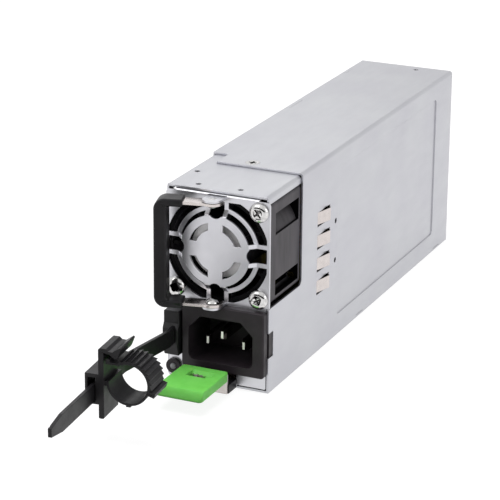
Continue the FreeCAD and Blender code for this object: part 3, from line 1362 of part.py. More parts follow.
@on_board
def transformer_winding():
    """Bobbin and copper wound round the core's middle leg."""
    low, high = 10.7, 28.3
    y = front(132.0)
    coil = tube(10.2, 5.1, Vector(BOARD_FACE + 15.0, y, low), Z_AXIS * (high - low))
    foot = deep_box((BOARD_FACE, BOARD_FACE + 5.4), (123.0, 141.0), (low, high))
    return joined(coil, foot.cut(rod(10.2, Vector(BOARD_FACE + 15.0, y, low - 1), Z_AXIS * 40)))


@on_board
def secondary_heatsink():
    """Pair of upright aluminium plates with bent feet."""
    plates = []
    for z in (27.0, 45.0):
        plates.append(deep_box((BOARD_FACE, BOARD_FACE + 26.0), (154.0, 172.0), (z, z + 1.6)))
        plates.append(deep_box((BOARD_FACE, BOARD_FACE + 1.6), (154.0, 172.0), (z, z + 5.0)))
    return group([joined(plates[0], plates[1]), joined(plates[2], plates[3])])


@on_board
def output_capacitors():
    cans = []
    for depth, height in ((155.6, 56.0), (155.6, 65.2), (164.3, 56.0), (164.3, 65.2), (156.0, 12.0), (165.0, 14.0)):
        can = rod(4.0, Vector(BOARD_FACE, front(depth), height), X_AXIS * 20)
        groove = tube(5.0, 3.6, Vector(BOARD_FACE + 1.4, front(depth), height), X_AXIS * 0.8)
        cans.append(can.cut(groove))
    return group(cans)


@on_board
def control_board():
    """Small upright board with its pin header and two packages."""
    card = deep_box((BOARD_FACE + 1.5, BOARD_FACE + 22.0), (134.0, 150.0), (44.0, 45.2))
    header = deep_box((BOARD_FACE, BOARD_FACE + 2.5), (135.0, 149.0), (41.8, 44.0))
    chips = [deep_box((BOARD_FACE + 6.0, BOARD_FACE + 13.0), (136.0 + 7 * k, 140.5 + 7 * k), (45.2, 46.6))
             for k in range(2)]
    return joined(card, header, *chips)


def fan_plug():
    """Fan connector: header on the board and plug seated in it."""
    near = BOARD_FRONT + 0.5
    socket = deep_box((BOARD_FACE + 1.0, BOARD_FACE + 4.0), (near + 0.7, near + 3.3), (44.8, 53.2))
    header = deep_box((BOARD_FACE, BOARD_FACE + 3.0), (near, near + 4.0), (44.0, 54.0)).cut(socket)
    plug = deep_box((BOARD_FACE + 1.0, BOARD_FACE + 7.0), (near + 0.9, near + 3.1), (45.0, 53.0))
    return group([header, plug])


def inlet_wires():
    """Insulated wires from the inlet's tags back along the case and down to the board."""
    start = INLET_DEPTH - INLET_PROUD + INLET_WALL + 6.0
    wires = []
    for index, (x, z, _) in enumerate(pin_places()):
        turn = BOARD_FRONT + 1.2 + 2.3 * index
        bend = 3.0
        first = Vector(x, front(start), z)
        corner = Vector(x, front(turn), z)
        end = Vector(BOARD_FACE, front(turn), z)
        lead = Part.LineSegment(first, corner - Y_AXIS * bend).toShape()
        arc = Part.Arc(corner - Y_AXIS * bend, corner + Vector(-bend, -bend, 0) + Vector(bend, bend, 0) * math.sqrt(0.5),
                       corner - X_AXIS * bend).toShape()
        down = Part.LineSegment(corner - X_AXIS * bend, end).toShape()
        path = Part.Wire([lead, arc, down])
        profile = Part.Wire([Part.Circle(first, Y_AXIS, 1.1).toShape()])
        wires.append(path.makePipeShell([profile], True, False))
    return group(wires)


NODES = {
    "base_tray": base_tray,
    "cover": cover,
    "rear_panel": rear_panel,
    "face_plate": face_plate,
    "cover_screws": cover_screws,
    "guard_screws": guard_screws,
    "fan_frame": fan_frame,
    "fan_label": fan_label,
    "fan_rotor": fan_rotor,
    "fan_shaft": fan_shaft,
    "fan_magnet": fan_magnet,
    "fan_bearing": fan_bearing,
    "fan_stator": fan_stator,
    "fan_coils": fan_coils,
    "handle_grip": handle_grip,
    "handle_lugs": handle_lugs,
    "handle_rivets": handle_rivets,
    "inlet_housing": inlet_housing,
    "inlet_pins": inlet_pins,
    "inlet_wires": inlet_wires,
    "strap_anchor": strap_anchor,
    "lamp_ring": lamp_ring,
    "lamp_lens": lamp_lens,
    "latch_cap": latch_cap,
    "latch_lever": latch_lever,
    "latch_block": latch_block,
    "latch_pin": latch_pin,
    "latch_spring": latch_spring,
    "cord_strap": cord_strap,
    "cable_clamp": cable_clamp,
    "clamp_band": clamp_band,
    "clamp_pawl": clamp_pawl,
    "emi_fingers": emi_fingers,
    "emi_strip": emi_strip,
    "main_board": main_board,
    "edge_contacts": edge_contacts,
    "standoffs": standoffs,
    "board_screws": board_screws,
    "insulating_film": insulating_film,
    "filter_cores": filter_cores,
    "filter_windings": filter_windings,
    "film_capacitors": film_capacitors,
    "safety_capacitors": safety_capacitors,
    "fuse": fuse,
    "relay": relay,
    "thermistor": thermistor,
    "pfc_core": pfc_core,
    "pfc_winding": pfc_winding,
    "bulk_capacitor": bulk_capacitor,
    "primary_heatsink": primary_heatsink,
    "bridge_rectifier": bridge_rectifier,
    "power_transistors": power_transistors,
    "transformer_core": transformer_core,
    "transformer_winding": transformer_winding,
    "secondary_heatsink": secondary_heatsink,
    "output_capacitors": output_capacitors,
    "control_board": control_board,
    "fan_plug": fan_plug,
}


def main():
    os.makedirs("parts", exist_ok=True)
    for name, build in NODES.items():
        shape = build()
        if not shape.isValid() or not shape.Solids:
            raise ValueError("node " + name + " is not a sound solid")
        shape.exportStep("parts/" + name + ".step")
        print(name, len(shape.Solids), round(shape.Volume, 1))


main()
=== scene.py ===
import json
import math

import bpy
from mathutils import Matrix, Vector

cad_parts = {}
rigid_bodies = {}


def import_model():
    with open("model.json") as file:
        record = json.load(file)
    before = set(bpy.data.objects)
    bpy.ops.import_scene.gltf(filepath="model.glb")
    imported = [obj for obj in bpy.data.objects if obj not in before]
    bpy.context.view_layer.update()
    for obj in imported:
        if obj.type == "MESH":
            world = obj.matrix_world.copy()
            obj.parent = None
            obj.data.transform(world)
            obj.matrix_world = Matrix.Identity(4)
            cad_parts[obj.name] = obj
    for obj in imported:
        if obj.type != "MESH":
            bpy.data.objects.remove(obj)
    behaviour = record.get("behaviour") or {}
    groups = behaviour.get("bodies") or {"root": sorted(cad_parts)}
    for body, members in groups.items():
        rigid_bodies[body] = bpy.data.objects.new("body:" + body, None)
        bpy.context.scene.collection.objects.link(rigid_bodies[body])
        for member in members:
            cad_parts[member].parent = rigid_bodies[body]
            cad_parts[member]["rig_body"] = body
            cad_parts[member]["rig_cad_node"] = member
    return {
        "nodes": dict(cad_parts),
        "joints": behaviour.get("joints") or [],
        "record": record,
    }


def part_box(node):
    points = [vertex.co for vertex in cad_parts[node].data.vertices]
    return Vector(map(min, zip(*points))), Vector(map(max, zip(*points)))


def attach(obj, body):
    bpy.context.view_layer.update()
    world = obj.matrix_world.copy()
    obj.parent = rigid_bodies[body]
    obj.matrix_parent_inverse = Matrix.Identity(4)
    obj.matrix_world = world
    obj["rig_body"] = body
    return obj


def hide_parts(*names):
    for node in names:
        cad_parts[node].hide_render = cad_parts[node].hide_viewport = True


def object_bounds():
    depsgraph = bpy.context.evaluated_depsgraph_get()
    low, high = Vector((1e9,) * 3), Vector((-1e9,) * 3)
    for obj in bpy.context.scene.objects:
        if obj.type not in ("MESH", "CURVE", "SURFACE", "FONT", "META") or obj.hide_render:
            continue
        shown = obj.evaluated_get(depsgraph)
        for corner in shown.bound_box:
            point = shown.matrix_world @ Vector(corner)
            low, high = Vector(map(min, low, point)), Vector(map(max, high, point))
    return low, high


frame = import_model()
CAD_BOX = [list(corner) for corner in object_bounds()]

MM = 0.001
NODES = frame["nodes"]
SLOT_OF = {row["node"]: row["material_slot"] for row in frame["record"]["subparts"]}


# ---------------------------------------------------------------- finishes
# Sizes of grain, lines and marks are in millimetres. What is finer than about 0.2 mm on the real surface,
# such as a spark-eroded texture or a roll's lines, is drawn that coarse, because finer would not show.

PER_METRE = 1000.0
EDGE_SAMPLES = 6
SKY_SAMPLES = 8


def colour(hex_code):
    """Linear RGBA of an sRGB hex colour."""
    channels = [int(hex_code[i:i + 2], 16) / 255 for i in (1, 3, 5)]
    return [c / 12.92 if c <= 0.04045 else ((c + 0.055) / 1.055) ** 2.4 for c in channels] + [1.0]


def add_node(material, kind, values=(), links=(), **settings):
    """One shader node: settings are its own, values go in its sockets, links feed its sockets."""
    node = material.node_tree.nodes.new(kind)
    for name, setting in settings.items():
        setattr(node, name, setting)
    for socket, value in dict(values).items():
        node.inputs[socket].default_value = value
    for socket, source in dict(links).items():
        material.node_tree.links.new(source, node.inputs[socket])
    return node


def finish(name, shade, roughness, metallic=0.0, **more):
    """A material with its shader; more sets further sockets, spelt with _ for a space."""
    material = bpy.data.materials.new(name)
    material.use_nodes = True
    shader = material.node_tree.nodes["Principled BSDF"]
    shader.inputs["Base Color"].default_value = colour(shade)
    shader.inputs["Roughness"].default_value = roughness
    shader.inputs["Metallic"].default_value = metallic
    for socket, value in more.items():
        shader.inputs[socket.replace("_", " ")].default_value = value
    return material, shader


def cloud(material, size, detail=3.0, stretch=(1, 1, 1)):
    """Noise whose features are size millimetres, longer by stretch along X, Y and Z."""
    place = add_node(material, "ShaderNodeTexCoord").outputs["Object"]
    scale = [PER_METRE / (size * longer) for longer in stretch]
    mapped = add_node(material, "ShaderNodeMapping", {"Scale": scale}, {"Vector": place})
    return add_node(material, "ShaderNodeTexNoise", {"Scale": 1.0, "Detail": detail},
                    {"Vector": mapped.outputs["Vector"]}).outputs["Fac"]


def spread(material, source, low, high, near=0.3, far=0.7):
    """source, running from near to far, spread from low to high."""
    return add_node(material, "ShaderNodeMapRange",
                    {"From Min": near, "From Max": far, "To Min": low, "To Max": high},
                    {"Value": source}).outputs["Result"]


def tint(material, shader, source, dark, light, near=0.3, far=0.7):
    """Colour that runs from dark to light with source."""
    ramp = add_node(material, "ShaderNodeValToRGB", links={"Fac": source})
    ends = ramp.color_ramp.elements
    ends[0].position, ends[0].color = near, colour(dark)
    ends[1].position, ends[1].color = far, colour(light)
    material.node_tree.links.new(ramp.outputs["Color"], shader.inputs["Base Color"])


def relief(material, shader, source, height, edge=0.0):
    """Bump of height millimetres; edge rounds the corners over that many millimetres."""
    bump = add_node(material, "ShaderNodeBump", {"Strength": 1.0, "Distance": height * MM},
                    {"Height": source})
    if edge:
        corner = add_node(material, "ShaderNodeBevel", {"Radius": edge * MM}, samples=EDGE_SAMPLES)
        material.node_tree.links.new(corner.outputs["Normal"], bump.inputs["Normal"])
    material.node_tree.links.new(bump.outputs["Normal"], shader.inputs["Normal"])


def facing(material, axis):
    """1 on faces square to that axis, falling to 0 on faces along it."""
    normal = add_node(material, "ShaderNodeNewGeometry").outputs["Normal"]
    part = add_node(material, "ShaderNodeSeparateXYZ", links={0: normal}).outputs[axis]
    return add_node(material, "ShaderNodeMath", links={0: part, 1: part}, operation="MULTIPLY").outputs[0]


def dim(material, shader, share):
    """Multiplies the colour by share."""
    paint = shader.inputs["Base Color"].links[0].from_socket
    shaded = add_node(material, "ShaderNodeHueSaturation", links={"Value": share, "Color": paint})
    material.node_tree.links.new(shaded.outputs["Color"], shader.inputs["Base Color"])


def painted_crevice_shade(material, shader, reach, dimmest, closed=0.25, clear=0.85):
    """Painted shade: darkens the colour in corners and gaps, down to dimmest where surfaces within reach
    millimetres close them in.
    """
    open_sky = add_node(material, "ShaderNodeAmbientOcclusion", {"Distance": reach * MM},
                        samples=SKY_SAMPLES)
    dim(material, shader, spread(material, open_sky.outputs["AO"], dimmest, 1.0, closed, clear))


def sheen(material, shader, source, low, high, near=0.3, far=0.7):
    """Roughness that runs from low to high with source."""
    material.node_tree.links.new(spread(material, source, low, high, near, far), shader.inputs["Roughness"])


def zinc_plated_sheet(name, dark, light, edge, top_shade_share):
    """Electrolytic zinc on rolled steel: satin, with faint rolling lines and cloudy passivation.

    Painted shade darkens faces that look up by the given share, and darkens folds and seams."""
    passivation, satin_patch, rolling_line = 22.0, 3.0, 0.35
    material, shader = finish(name, light, 0.34, 1.0)
    tint(material, shader, cloud(material, passivation, 6.0), dark, light)
    sheen(material, shader, cloud(material, satin_patch, 3.0, (1, 4, 1)), 0.31, 0.38)
    relief(material, shader, cloud(material, rolling_line, 2.0, (1, 40, 1)), 0.003, edge)
    # Painted shade: faces that look up are darkened, and so are folds and seams.
    dim(material, shader, spread(material, facing(material, "Z"), 1.0, top_shade_share, 0.0, 1.0))
    painted_crevice_shade(material, shader, 0.8, 0.25, 0.1, 0.55)
    return material


def bright_nickel_screw():
    """Nickel plating on cold-headed steel: a near mirror with soft tumbling dimples, and a recess darkened by
    painted shade.
    """
    tumbling_dimple = 1.1
    material, shader = finish("nickel-plated cold-headed steel", "#d2d1d0", 0.13, 1.0)
    dimples = cloud(material, tumbling_dimple, 2.0)
    tint(material, shader, dimples, "#bdbcbb", "#dad9d8")
    relief(material, shader, dimples, 0.004, 0.1)
    painted_crevice_shade(material, shader, 1.5, 0.25)
    return material


def stamped_nickel():
    """Nickel-plated spring steel: warmer and brighter than the case, with faint drawing marks and painted
    shade in its corners.
    """
    mottle, drawing_mark = 3.0, 0.25
    material, shader = finish("nickel-plated spring steel", "#cac4c2", 0.26, 1.0)
    tint(material, shader, cloud(material, mottle, 3.0), "#c8c1be", "#d1cac7")
    relief(material, shader, cloud(material, drawing_mark, 2.0, (12, 1, 12)), 0.003, 0.1)
    painted_crevice_shade(material, shader, 1.2, 0.3)
    return material


def moulded_shader(name, dark, light, roughness, grain, height, edge=0.15, **more):
    """Moulded plastic: the tool's fine texture in relief, with a sheen that varies as the melt flowed."""
    flow_patch, uneven = 5.0, 0.05
    material, shader = finish(name, light, roughness, **more)
    flow = cloud(material, flow_patch, 3.0)
    tint(material, shader, flow, dark, light)
    sheen(material, shader, flow, roughness + uneven, roughness - uneven)
    relief(material, shader, cloud(material, grain, 2.0), height, edge)
    return material, shader


def moulded(*description, **more):
    """The same material without its shader."""
    return moulded_shader(*description, **more)[0]


def translucent_acetal():
    """Bright green acetal that lets a little light in, with painted shade darkening the front face of the
    nose.
    """
    nose_shade_share, face_depths = 0.72, (1.2, 3.0)
    material, shader = moulded_shader("bright green moulded acetal", "#69c451", "#75cd5d", 0.42, 0.25, 0.006,
                                      0.25, IOR=1.48, Subsurface_Weight=0.08, Subsurface_Scale=0.002,
                                      Specular_IOR_Level=0.3)
    place = add_node(material, "ShaderNodeTexCoord").outputs["Object"]
    along = add_node(material, "ShaderNodeSeparateXYZ", links={0: place}).outputs["Y"]
    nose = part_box("latch_cap")[0][1]
    near, far = (nose + depth * MM for depth in face_depths)
    # Painted shade on the front face of the nose.
    dim(material, shader, spread(material, along, nose_shade_share, 1.0, near, far))
    return material


def potted_case():
    """Capacitor case filled with epoxy: its yellow painted down to ochre as shade, and darker still where its
    neighbours crowd it, as painted shade.
    """
    material, shader = moulded_shader("epoxy-potted capacitor case", "#8f7f2a", "#a3922f", 0.4, 0.5, 0.01)
    painted_crevice_shade(material, shader, 20.0, 0.15)
    return material


def fan_polyester():
    """Glass-filled black polyester: flow lines along the draw, side walls painted lighter as a sheen streaked
    along them, and painted shade in the hollows.
    """
    flow_line = 4.0
    material, shader = finish("glass-filled black polyester", "#1a191b", 0.34, IOR=1.57,
                              Specular_IOR_Level=0.05)
    flow = cloud(material, flow_line, 4.0, (1, 1, 5))
    # Painted sheen: the side walls are lighter, streaked along the flow lines.
    side_sheen = add_node(material, "ShaderNodeMath",
                     links={0: facing(material, "X"), 1: spread(material, flow, 0.5, 1.0)},
                     operation="MULTIPLY").outputs[0]
    tint(material, shader, side_sheen, "#0b0a0c", "#656266", 0.0, 1.0)
    sheen(material, shader, flow, 0.28, 0.44)
    relief(material, shader, flow, 0.03, 0.15)
    painted_crevice_shade(material, shader, 8.0, 0.25)
    return material


def foil_label():
    """Bare satin foil on the fan's hub: pale, with the ripple of the glue below it."""
    glue_ripple = 2.0
    material, shader = finish("bare satin foil label", "#f1efef", 0.42, 0.4)
    ripple = cloud(material, glue_ripple)
    tint(material, shader, ripple, "#ebe9e9", "#f5f4f4")
    relief(material, shader, ripple, 0.01)
    return material


def plain_metal(name, dark, light, roughness, size, height, stretch=(1, 1, 1), edge=0.08):
    """Metal whose surface marks are size millimetres across."""
    material, shader = finish(name, light, roughness, 1.0)
    marks = cloud(material, size, 3.0, stretch)
    tint(material, shader, marks, dark, light)
    relief(material, shader, marks, height, edge)
    return material


def enamelled_winding(name, dark, light, wire, along):
    """Turns of enamelled wire: ridges one wire apart, with amber lacquer over copper."""
    material, shader = finish(name, light, 0.3, 0.8, Coat_Weight=0.5)
    place = add_node(material, "ShaderNodeTexCoord").outputs["Object"]
    turns = add_node(material, "ShaderNodeTexWave", {"Scale": PER_METRE / wire / math.tau, "Distortion": 0.6},
                     {"Vector": place}, bands_direction=along, wave_profile="SIN").outputs["Fac"]
    tint(material, shader, turns, dark, light, 0.1, 0.8)
    relief(material, shader, turns, 0.12)
    return material


def solder_mask_board():
    """Glass-epoxy board under green solder mask, with copper tracks showing through it."""
    track_pitch = 5.2
    material, shader = finish("green solder mask on glass epoxy", "#1f5a33", 0.3, IOR=1.5, Coat_Weight=0.4)
    place = add_node(material, "ShaderNodeTexCoord").outputs["Object"]
    tracks = add_node(material, "ShaderNodeTexBrick",
                      {"Scale": PER_METRE / track_pitch, "Mortar Size": 0.05, "Brick Width": 1.7,
                       "Row Height": 0.4, "Color1": (1, 1, 1, 1), "Color2": (0.8, 0.8, 0.8, 1),
                       "Mortar": (0, 0, 0, 1)},
                      {"Vector": place})
    tint(material, shader, tracks.outputs["Color"], "#184a29", "#2a6b3d")
    relief(material, shader, tracks.outputs["Color"], 0.03)
    return material


def clear_lens():
    """Frosted acrylic light pipe, unlit: grey and a little see-through."""
    frosting = 0.3
    material, shader = finish("frosted acrylic light pipe", "#a9abae", 0.35, IOR=1.49,
                              Transmission_Weight=0.3)
    frost = cloud(material, frosting)
    tint(material, shader, frost, "#97999c", "#b6b8ba")
    relief(material, shader, frost, 0.01)
    return material


def blade_metal():
    """Nickel-plated brass blades: satin tips painted light as a highlight, and sides painted dark as the
    shade of the cavity.
    """
    plating_grain = 0.4
    material, shader = finish("nickel-plated brass blade", "#ebe8e4", 0.5, 1.0)
    tips = facing(material, "Y")
    tint(material, shader, tips, "#b5b2ad", "#f6f4f0", 0.2, 0.8)
    sheen(material, shader, tips, 0.16, 0.6, 0.2, 0.8)
    relief(material, shader, cloud(material, plating_grain), 0.004, 0.08)
    painted_crevice_shade(material, shader, 9.0, 0.03)
    return material


# Black polyamide: a dull, even black whose fine texture takes the shine off the edges.
BLACK_NYLON = moulded("black polyamide, spark-eroded texture", "#131214", "#1a191b", 0.4, 0.18, 0.01, 0.25,
                      IOR=1.53, Specular_IOR_Level=0.22)
FINISHES = {
    "zinc_steel": zinc_plated_sheet("zinc-plated rolled sheet", "#babac0", "#c0c1c5", 0.35, 0.92),
    "bright_screw": bright_nickel_screw(),
    "fan_plastic": fan_polyester(),
    "label_foil": foil_label(),
    # Ground steel: bright, with fine lines along the pin.
    "steel_pin": plain_metal("ground steel", "#a9a9ac", "#bcbcbf", 0.25, 0.2, 0.004, (1, 1, 8)),
    # Ferrite: dull charcoal with a sandy grain.
    "sintered_magnet": moulded("sintered ferrite", "#2b2b2c", "#3a3a3b", 0.6, 0.3, 0.02),
    # Bronze pressed from powder: brown and open-grained, with oil in its pores.
    "bearing_bronze": plain_metal("sintered bronze", "#8f6a3b", "#a98048", 0.4, 0.3, 0.02),
    "copper_wire": enamelled_winding("enamelled copper wire", "#7d3f1c", "#c4743a", 0.8, "Z"),
    "black_nylon": BLACK_NYLON,
    "nickel_steel": stamped_nickel(),
    # Flame-retardant polyamide: a warmer, greyer black than the handle's.
    "inlet_plastic": moulded("black flame-retardant polyamide", "#231e22", "#2c272b", 0.42, 0.22, 0.01, 0.2,
                             IOR=1.53, Specular_IOR_Level=0.25),
    "tin_pin": blade_metal(),
    # Braided sheath: brown-grey, rough enough to hide its wires.
    "wire_sheath": moulded("braided wire sheath", "#3b3634", "#575150", 0.55, 0.35, 0.06),
    "lamp_lens": clear_lens(),
    "green_plastic": translucent_acetal(),
    "circuit_board": solder_mask_board(),
    # Hard gold: smooth and deep yellow.
    "gold_pad": plain_metal("hard gold plating", "#c8a044", "#dcb65a", 0.24, 0.3, 0.003),
    # Nickel over brass: bright, with a yellowish cast.
    "plated_brass": plain_metal("nickel-plated brass", "#b9b6ae", "#cbc8c0", 0.28, 0.4, 0.006),
    # Polyester film: glossy black, with the slow waves of a sheet that isn't quite flat.
    "polyester_film": moulded("black polyester film", "#19191a", "#232324", 0.22, 6.0, 0.05, 0.0, IOR=1.6),
    "film_box": potted_case(),
    # Dipped ceramic: glossy blue with the sag of the dip.
    "ceramic_disc": moulded("dipped ceramic coating", "#2d5d9e", "#3a6cb0", 0.28, 0.8, 0.02),
    # Shrink sleeve: shiny black with soft ripples.
    "sleeve_plastic": moulded("black shrink sleeve", "#19191c", "#26262a", 0.25, 2.0, 0.03),
    # Extruded aluminium as it leaves the mill: pale grey with die lines along its length.
    "heatsink_aluminium": plain_metal("mill-finish extruded aluminium", "#b6b8ba", "#cfd0d1", 0.34, 0.3,
                                      0.01, (1, 60, 1)),
    # Moulded epoxy: matt charcoal.
    "moulded_package": moulded("moulded epoxy package", "#212122", "#2c2c2d", 0.55, 0.2, 0.015),
}
# The stamped face plate takes a lighter copy of the case's zinc, painted light for its lit front, with
# crisper edges.
FACE_PLATE_LIT_ZINC = zinc_plated_sheet("zinc-plated stamped sheet", "#cbcbd0", "#d4d4d8", 0.12, 0.92)

for node, piece in NODES.items():
    piece.data.materials.clear()
    piece.data.materials.append(FACE_PLATE_LIT_ZINC if node == "face_plate" else FINISHES[SLOT_OF[node]])


# ---------------------------------------------------------------- pieces finished by hand

def only(piece=None):
    """Selects just that piece and makes it active, or selects nothing."""
    bpy.ops.object.select_all(action="DESELECT")
    if piece:
        piece.select_set(True)
        bpy.context.view_layer.objects.active = piece


FORWARDS, BACKWARDS = -1, 1


def select_faces(way):
    """Edit mode with only the faces that look that way along Y."""
    bpy.ops.object.mode_set(mode="OBJECT")
    mesh = bpy.context.object.data
    for part in (*mesh.vertices, *mesh.edges):
        part.select = False
    for face in mesh.polygons:
        face.select = face.normal.y * way > 0.9
    bpy.ops.object.mode_set(mode="EDIT")
    bpy.ops.mesh.select_mode(type="FACE")


def select_points(select):
    """Edit mode with only the vertices for which select(place) holds."""
    bpy.ops.object.mode_set(mode="OBJECT")
    mesh = bpy.context.object.data
    for part in (*mesh.polygons, *mesh.edges):
        part.select = False
    for corner in mesh.vertices:
        corner.select = select(corner.co)
    bpy.ops.object.mode_set(mode="EDIT")
    bpy.ops.mesh.select_mode(type="VERT")


def move_selected(across, ahead):
    """Moves what is selected by that many millimetres along X and Y, and ends edit mode."""
    bpy.ops.transform.translate(value=(across * MM, ahead * MM, 0))
    bpy.ops.object.mode_set(mode="OBJECT")


def settle(piece):
    """Puts the piece's place in its mesh, with its origin at the world's."""
    bpy.ops.object.mode_set(mode="OBJECT")
    only(piece)
    bpy.ops.object.transform_apply(location=True, rotation=True, scale=True)


def apply_modifier(piece, kind, **settings):
    """Adds a modifier with those settings and applies it."""
    bpy.context.view_layer.objects.active = piece
    bpy.ops.object.modifier_add(type=kind)
    modifier = piece.modifiers[-1]
    for name, setting in settings.items():
        setattr(modifier, name, setting)
    bpy.ops.object.modifier_apply(modifier=modifier.name)


def cut(piece, cutter):
    """Takes the cutter's shape out of the piece."""
    apply_modifier(piece, "BOOLEAN", operation="DIFFERENCE", object=cutter)
    bpy.data.objects.remove(cutter)


def break_edges(piece, width, segments, sharper_than):
    """Rounds the edges that turn by more than sharper_than degrees over width millimetres."""
    apply_modifier(piece, "BEVEL", width=width * MM, segments=segments, limit_method="ANGLE",
                   angle_limit=math.radians(sharper_than))


def smooth(degrees):
    """Smooth shading over edges that turn by less than that."""
    bpy.ops.object.shade_smooth_by_angle(angle=math.radians(degrees))


def small_block(low, high, rounding, turn=0.0):
    """Box between two corners in millimetres, turned about Z, with rounded edges."""
    only()
    low, high = Vector(low) * MM, Vector(high) * MM
    bpy.ops.mesh.primitive_cube_add(size=1.0, location=(low + high) / 2)
    block = bpy.context.object
    block.scale = high - low
    block.rotation_euler.z = math.radians(turn)
    settle(block)
    if rounding:
        apply_modifier(block, "BEVEL", width=rounding * MM, segments=2)
    return block


def join(pieces):
    """Makes one piece of several."""
    only()
    for piece in pieces:
        piece.select_set(True)
    bpy.context.view_layer.objects.active = pieces[0]
    bpy.ops.object.join()
    return bpy.context.object


def hand_over(piece, name, finish_material, body, slot, *nodes):
    """Names the piece, dresses it, says what it rides on and hides the nodes it stands for."""
    piece.name = name
    piece.data.name = name
    piece.data.materials.clear()
    piece.data.materials.append(finish_material)
    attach(piece, body)
    if nodes:
        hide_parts(*nodes)


# The guard's screws: a domed head, a tapered cross recess and a shank.
SCREW_HEAD_RADIUS = 3.6
SCREW_HEAD_HEIGHT = 2.0               # room for the head in front of the plate
SCREW_RIM = 0.75                      # height of its straight side
SCREW_DOME = ((0.2, 0.45), (0.45, 0.35), (0.7, 0.25), (0.9, 0.12))    # inset and rise of each ring
SCREW_SHANK_RADIUS = 1.45
SCREW_EDGE = 0.12
SCREW_SIDES = 64
RECESS_ARM = 2.35
RECESS_WIDTH = 0.8
RECESS_DEPTH = 1.3
RECESS_TAPER = 0.5                    # its size at the bottom, as a share of that at the mouth


def pan_head_screw(seat, length, turn):
    """Domed head on a shank along Y, with a cross recess turned by that many degrees."""
    only()
    middle = Vector(seat) - Vector((0, SCREW_RIM / 2, 0))
    bpy.ops.mesh.primitive_cylinder_add(vertices=SCREW_SIDES, radius=SCREW_HEAD_RADIUS * MM,
                                        depth=SCREW_RIM * MM, location=middle * MM,
                                        rotation=(math.pi / 2, 0, 0))
    screw = bpy.context.object
    settle(screw)
    select_faces(FORWARDS)
    for inset, rise in SCREW_DOME:
        bpy.ops.mesh.extrude_region_move(TRANSFORM_OT_translate={"value": (0, -rise * MM, 0)})
        share = 1 - inset / SCREW_HEAD_RADIUS
        bpy.ops.transform.resize(value=(share, 1, share))
    select_faces(BACKWARDS)
    bpy.ops.mesh.inset(thickness=(SCREW_HEAD_RADIUS - SCREW_SHANK_RADIUS) * MM)
    bpy.ops.mesh.extrude_region_move(TRANSFORM_OT_translate={"value": (0, length * MM, 0)})
    bpy.ops.object.mode_set(mode="OBJECT")
    top = seat[1] - SCREW_RIM - sum(rise for inset, rise in SCREW_DOME)
    for arm in (0, 90):
        only()
        bpy.ops.mesh.primitive_cube_add(size=1.0, location=(seat[0] * MM, top * MM, seat[2] * MM))
        cutter = bpy.context.object
        cutter.scale = (2 * RECESS_ARM * MM, 2 * RECESS_DEPTH * MM, RECESS_WIDTH * MM)
        cutter.rotation_euler = (0, math.radians(turn + arm), 0)
        settle(cutter)
        select_faces(BACKWARDS)
        bpy.ops.transform.resize(value=(RECESS_TAPER, 1, RECESS_TAPER))
        bpy.ops.object.mode_set(mode="OBJECT")
        screw.select_set(True)
        cut(screw, cutter)
    only(screw)
    break_edges(screw, SCREW_EDGE, segments=3, sharper_than=32)
    smooth(degrees=40)
    return screw


GUARD_LOW, GUARD_HIGH = (Vector(corner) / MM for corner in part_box("guard_screws"))
SCREW_LEFT, SCREW_RIGHT = GUARD_LOW.x + SCREW_HEAD_RADIUS, GUARD_HIGH.x - SCREW_HEAD_RADIUS
SCREW_LOWER, SCREW_UPPER = GUARD_LOW.z + SCREW_HEAD_RADIUS, GUARD_HIGH.z - SCREW_HEAD_RADIUS
SCREW_SEAT = GUARD_LOW.y + SCREW_HEAD_HEIGHT
SCREW_SHANK = GUARD_HIGH.y - GUARD_LOW.y - SCREW_HEAD_HEIGHT
SCREW_PLACES = ((SCREW_LEFT, SCREW_LOWER, 18), (SCREW_RIGHT, SCREW_LOWER, -28),
                (SCREW_RIGHT, SCREW_UPPER, 52))     # the last is the turn in degrees, as each was left
SCREWS = [pan_head_screw((x, SCREW_SEAT, z), SCREW_SHANK, turn) for x, z, turn in SCREW_PLACES]
hand_over(join(SCREWS), "guard_screw_heads", FINISHES["bright_screw"], "case", "bright_screw", "guard_screws")

# The handle's grip: the inner side of its upright lies a little deeper than the plain form's.
GRIP_TURN = math.radians(15.5)        # how far the handle stands off the face
GRIP_DEEPER = 0.75
GRIP_INSIDE = (15.7, 18.4, 17.3)      # least and most reach of the upright's inner side, and its half height
GRIP_WELD = 0.002
AXIS = next(joint for joint in frame["joints"] if joint["name"] == "handle_swing")["pos_m"]


def grip_reach(place):
    """Distance of a place from the handle's axis, measured towards the upright, in millimetres."""
    across, ahead = place[0] - AXIS[0], place[1] - AXIS[1]
    return -(across * math.cos(GRIP_TURN) + ahead * math.sin(GRIP_TURN)) / MM


def inside_of_upright(place):
    near, far, half = GRIP_INSIDE
    return near < grip_reach(place) < far and abs(place[2] - AXIS[2]) < half * MM


grip = NODES["handle_grip"].copy()
grip.data = NODES["handle_grip"].data.copy()
grip.parent = None
# The copy is a new piece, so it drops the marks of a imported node.
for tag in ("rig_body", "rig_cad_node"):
    del grip[tag]
bpy.context.scene.collection.objects.link(grip)
only(grip)
bpy.ops.object.mode_set(mode="EDIT")
bpy.ops.mesh.select_all(action="SELECT")
bpy.ops.mesh.remove_doubles(threshold=GRIP_WELD * MM)
select_points(inside_of_upright)
move_selected(GRIP_DEEPER * math.cos(GRIP_TURN), GRIP_DEEPER * math.sin(GRIP_TURN))
smooth(degrees=35)
hand_over(grip, "handle_grip_moulding", BLACK_NYLON, "handle", "black_nylon", "handle_grip")

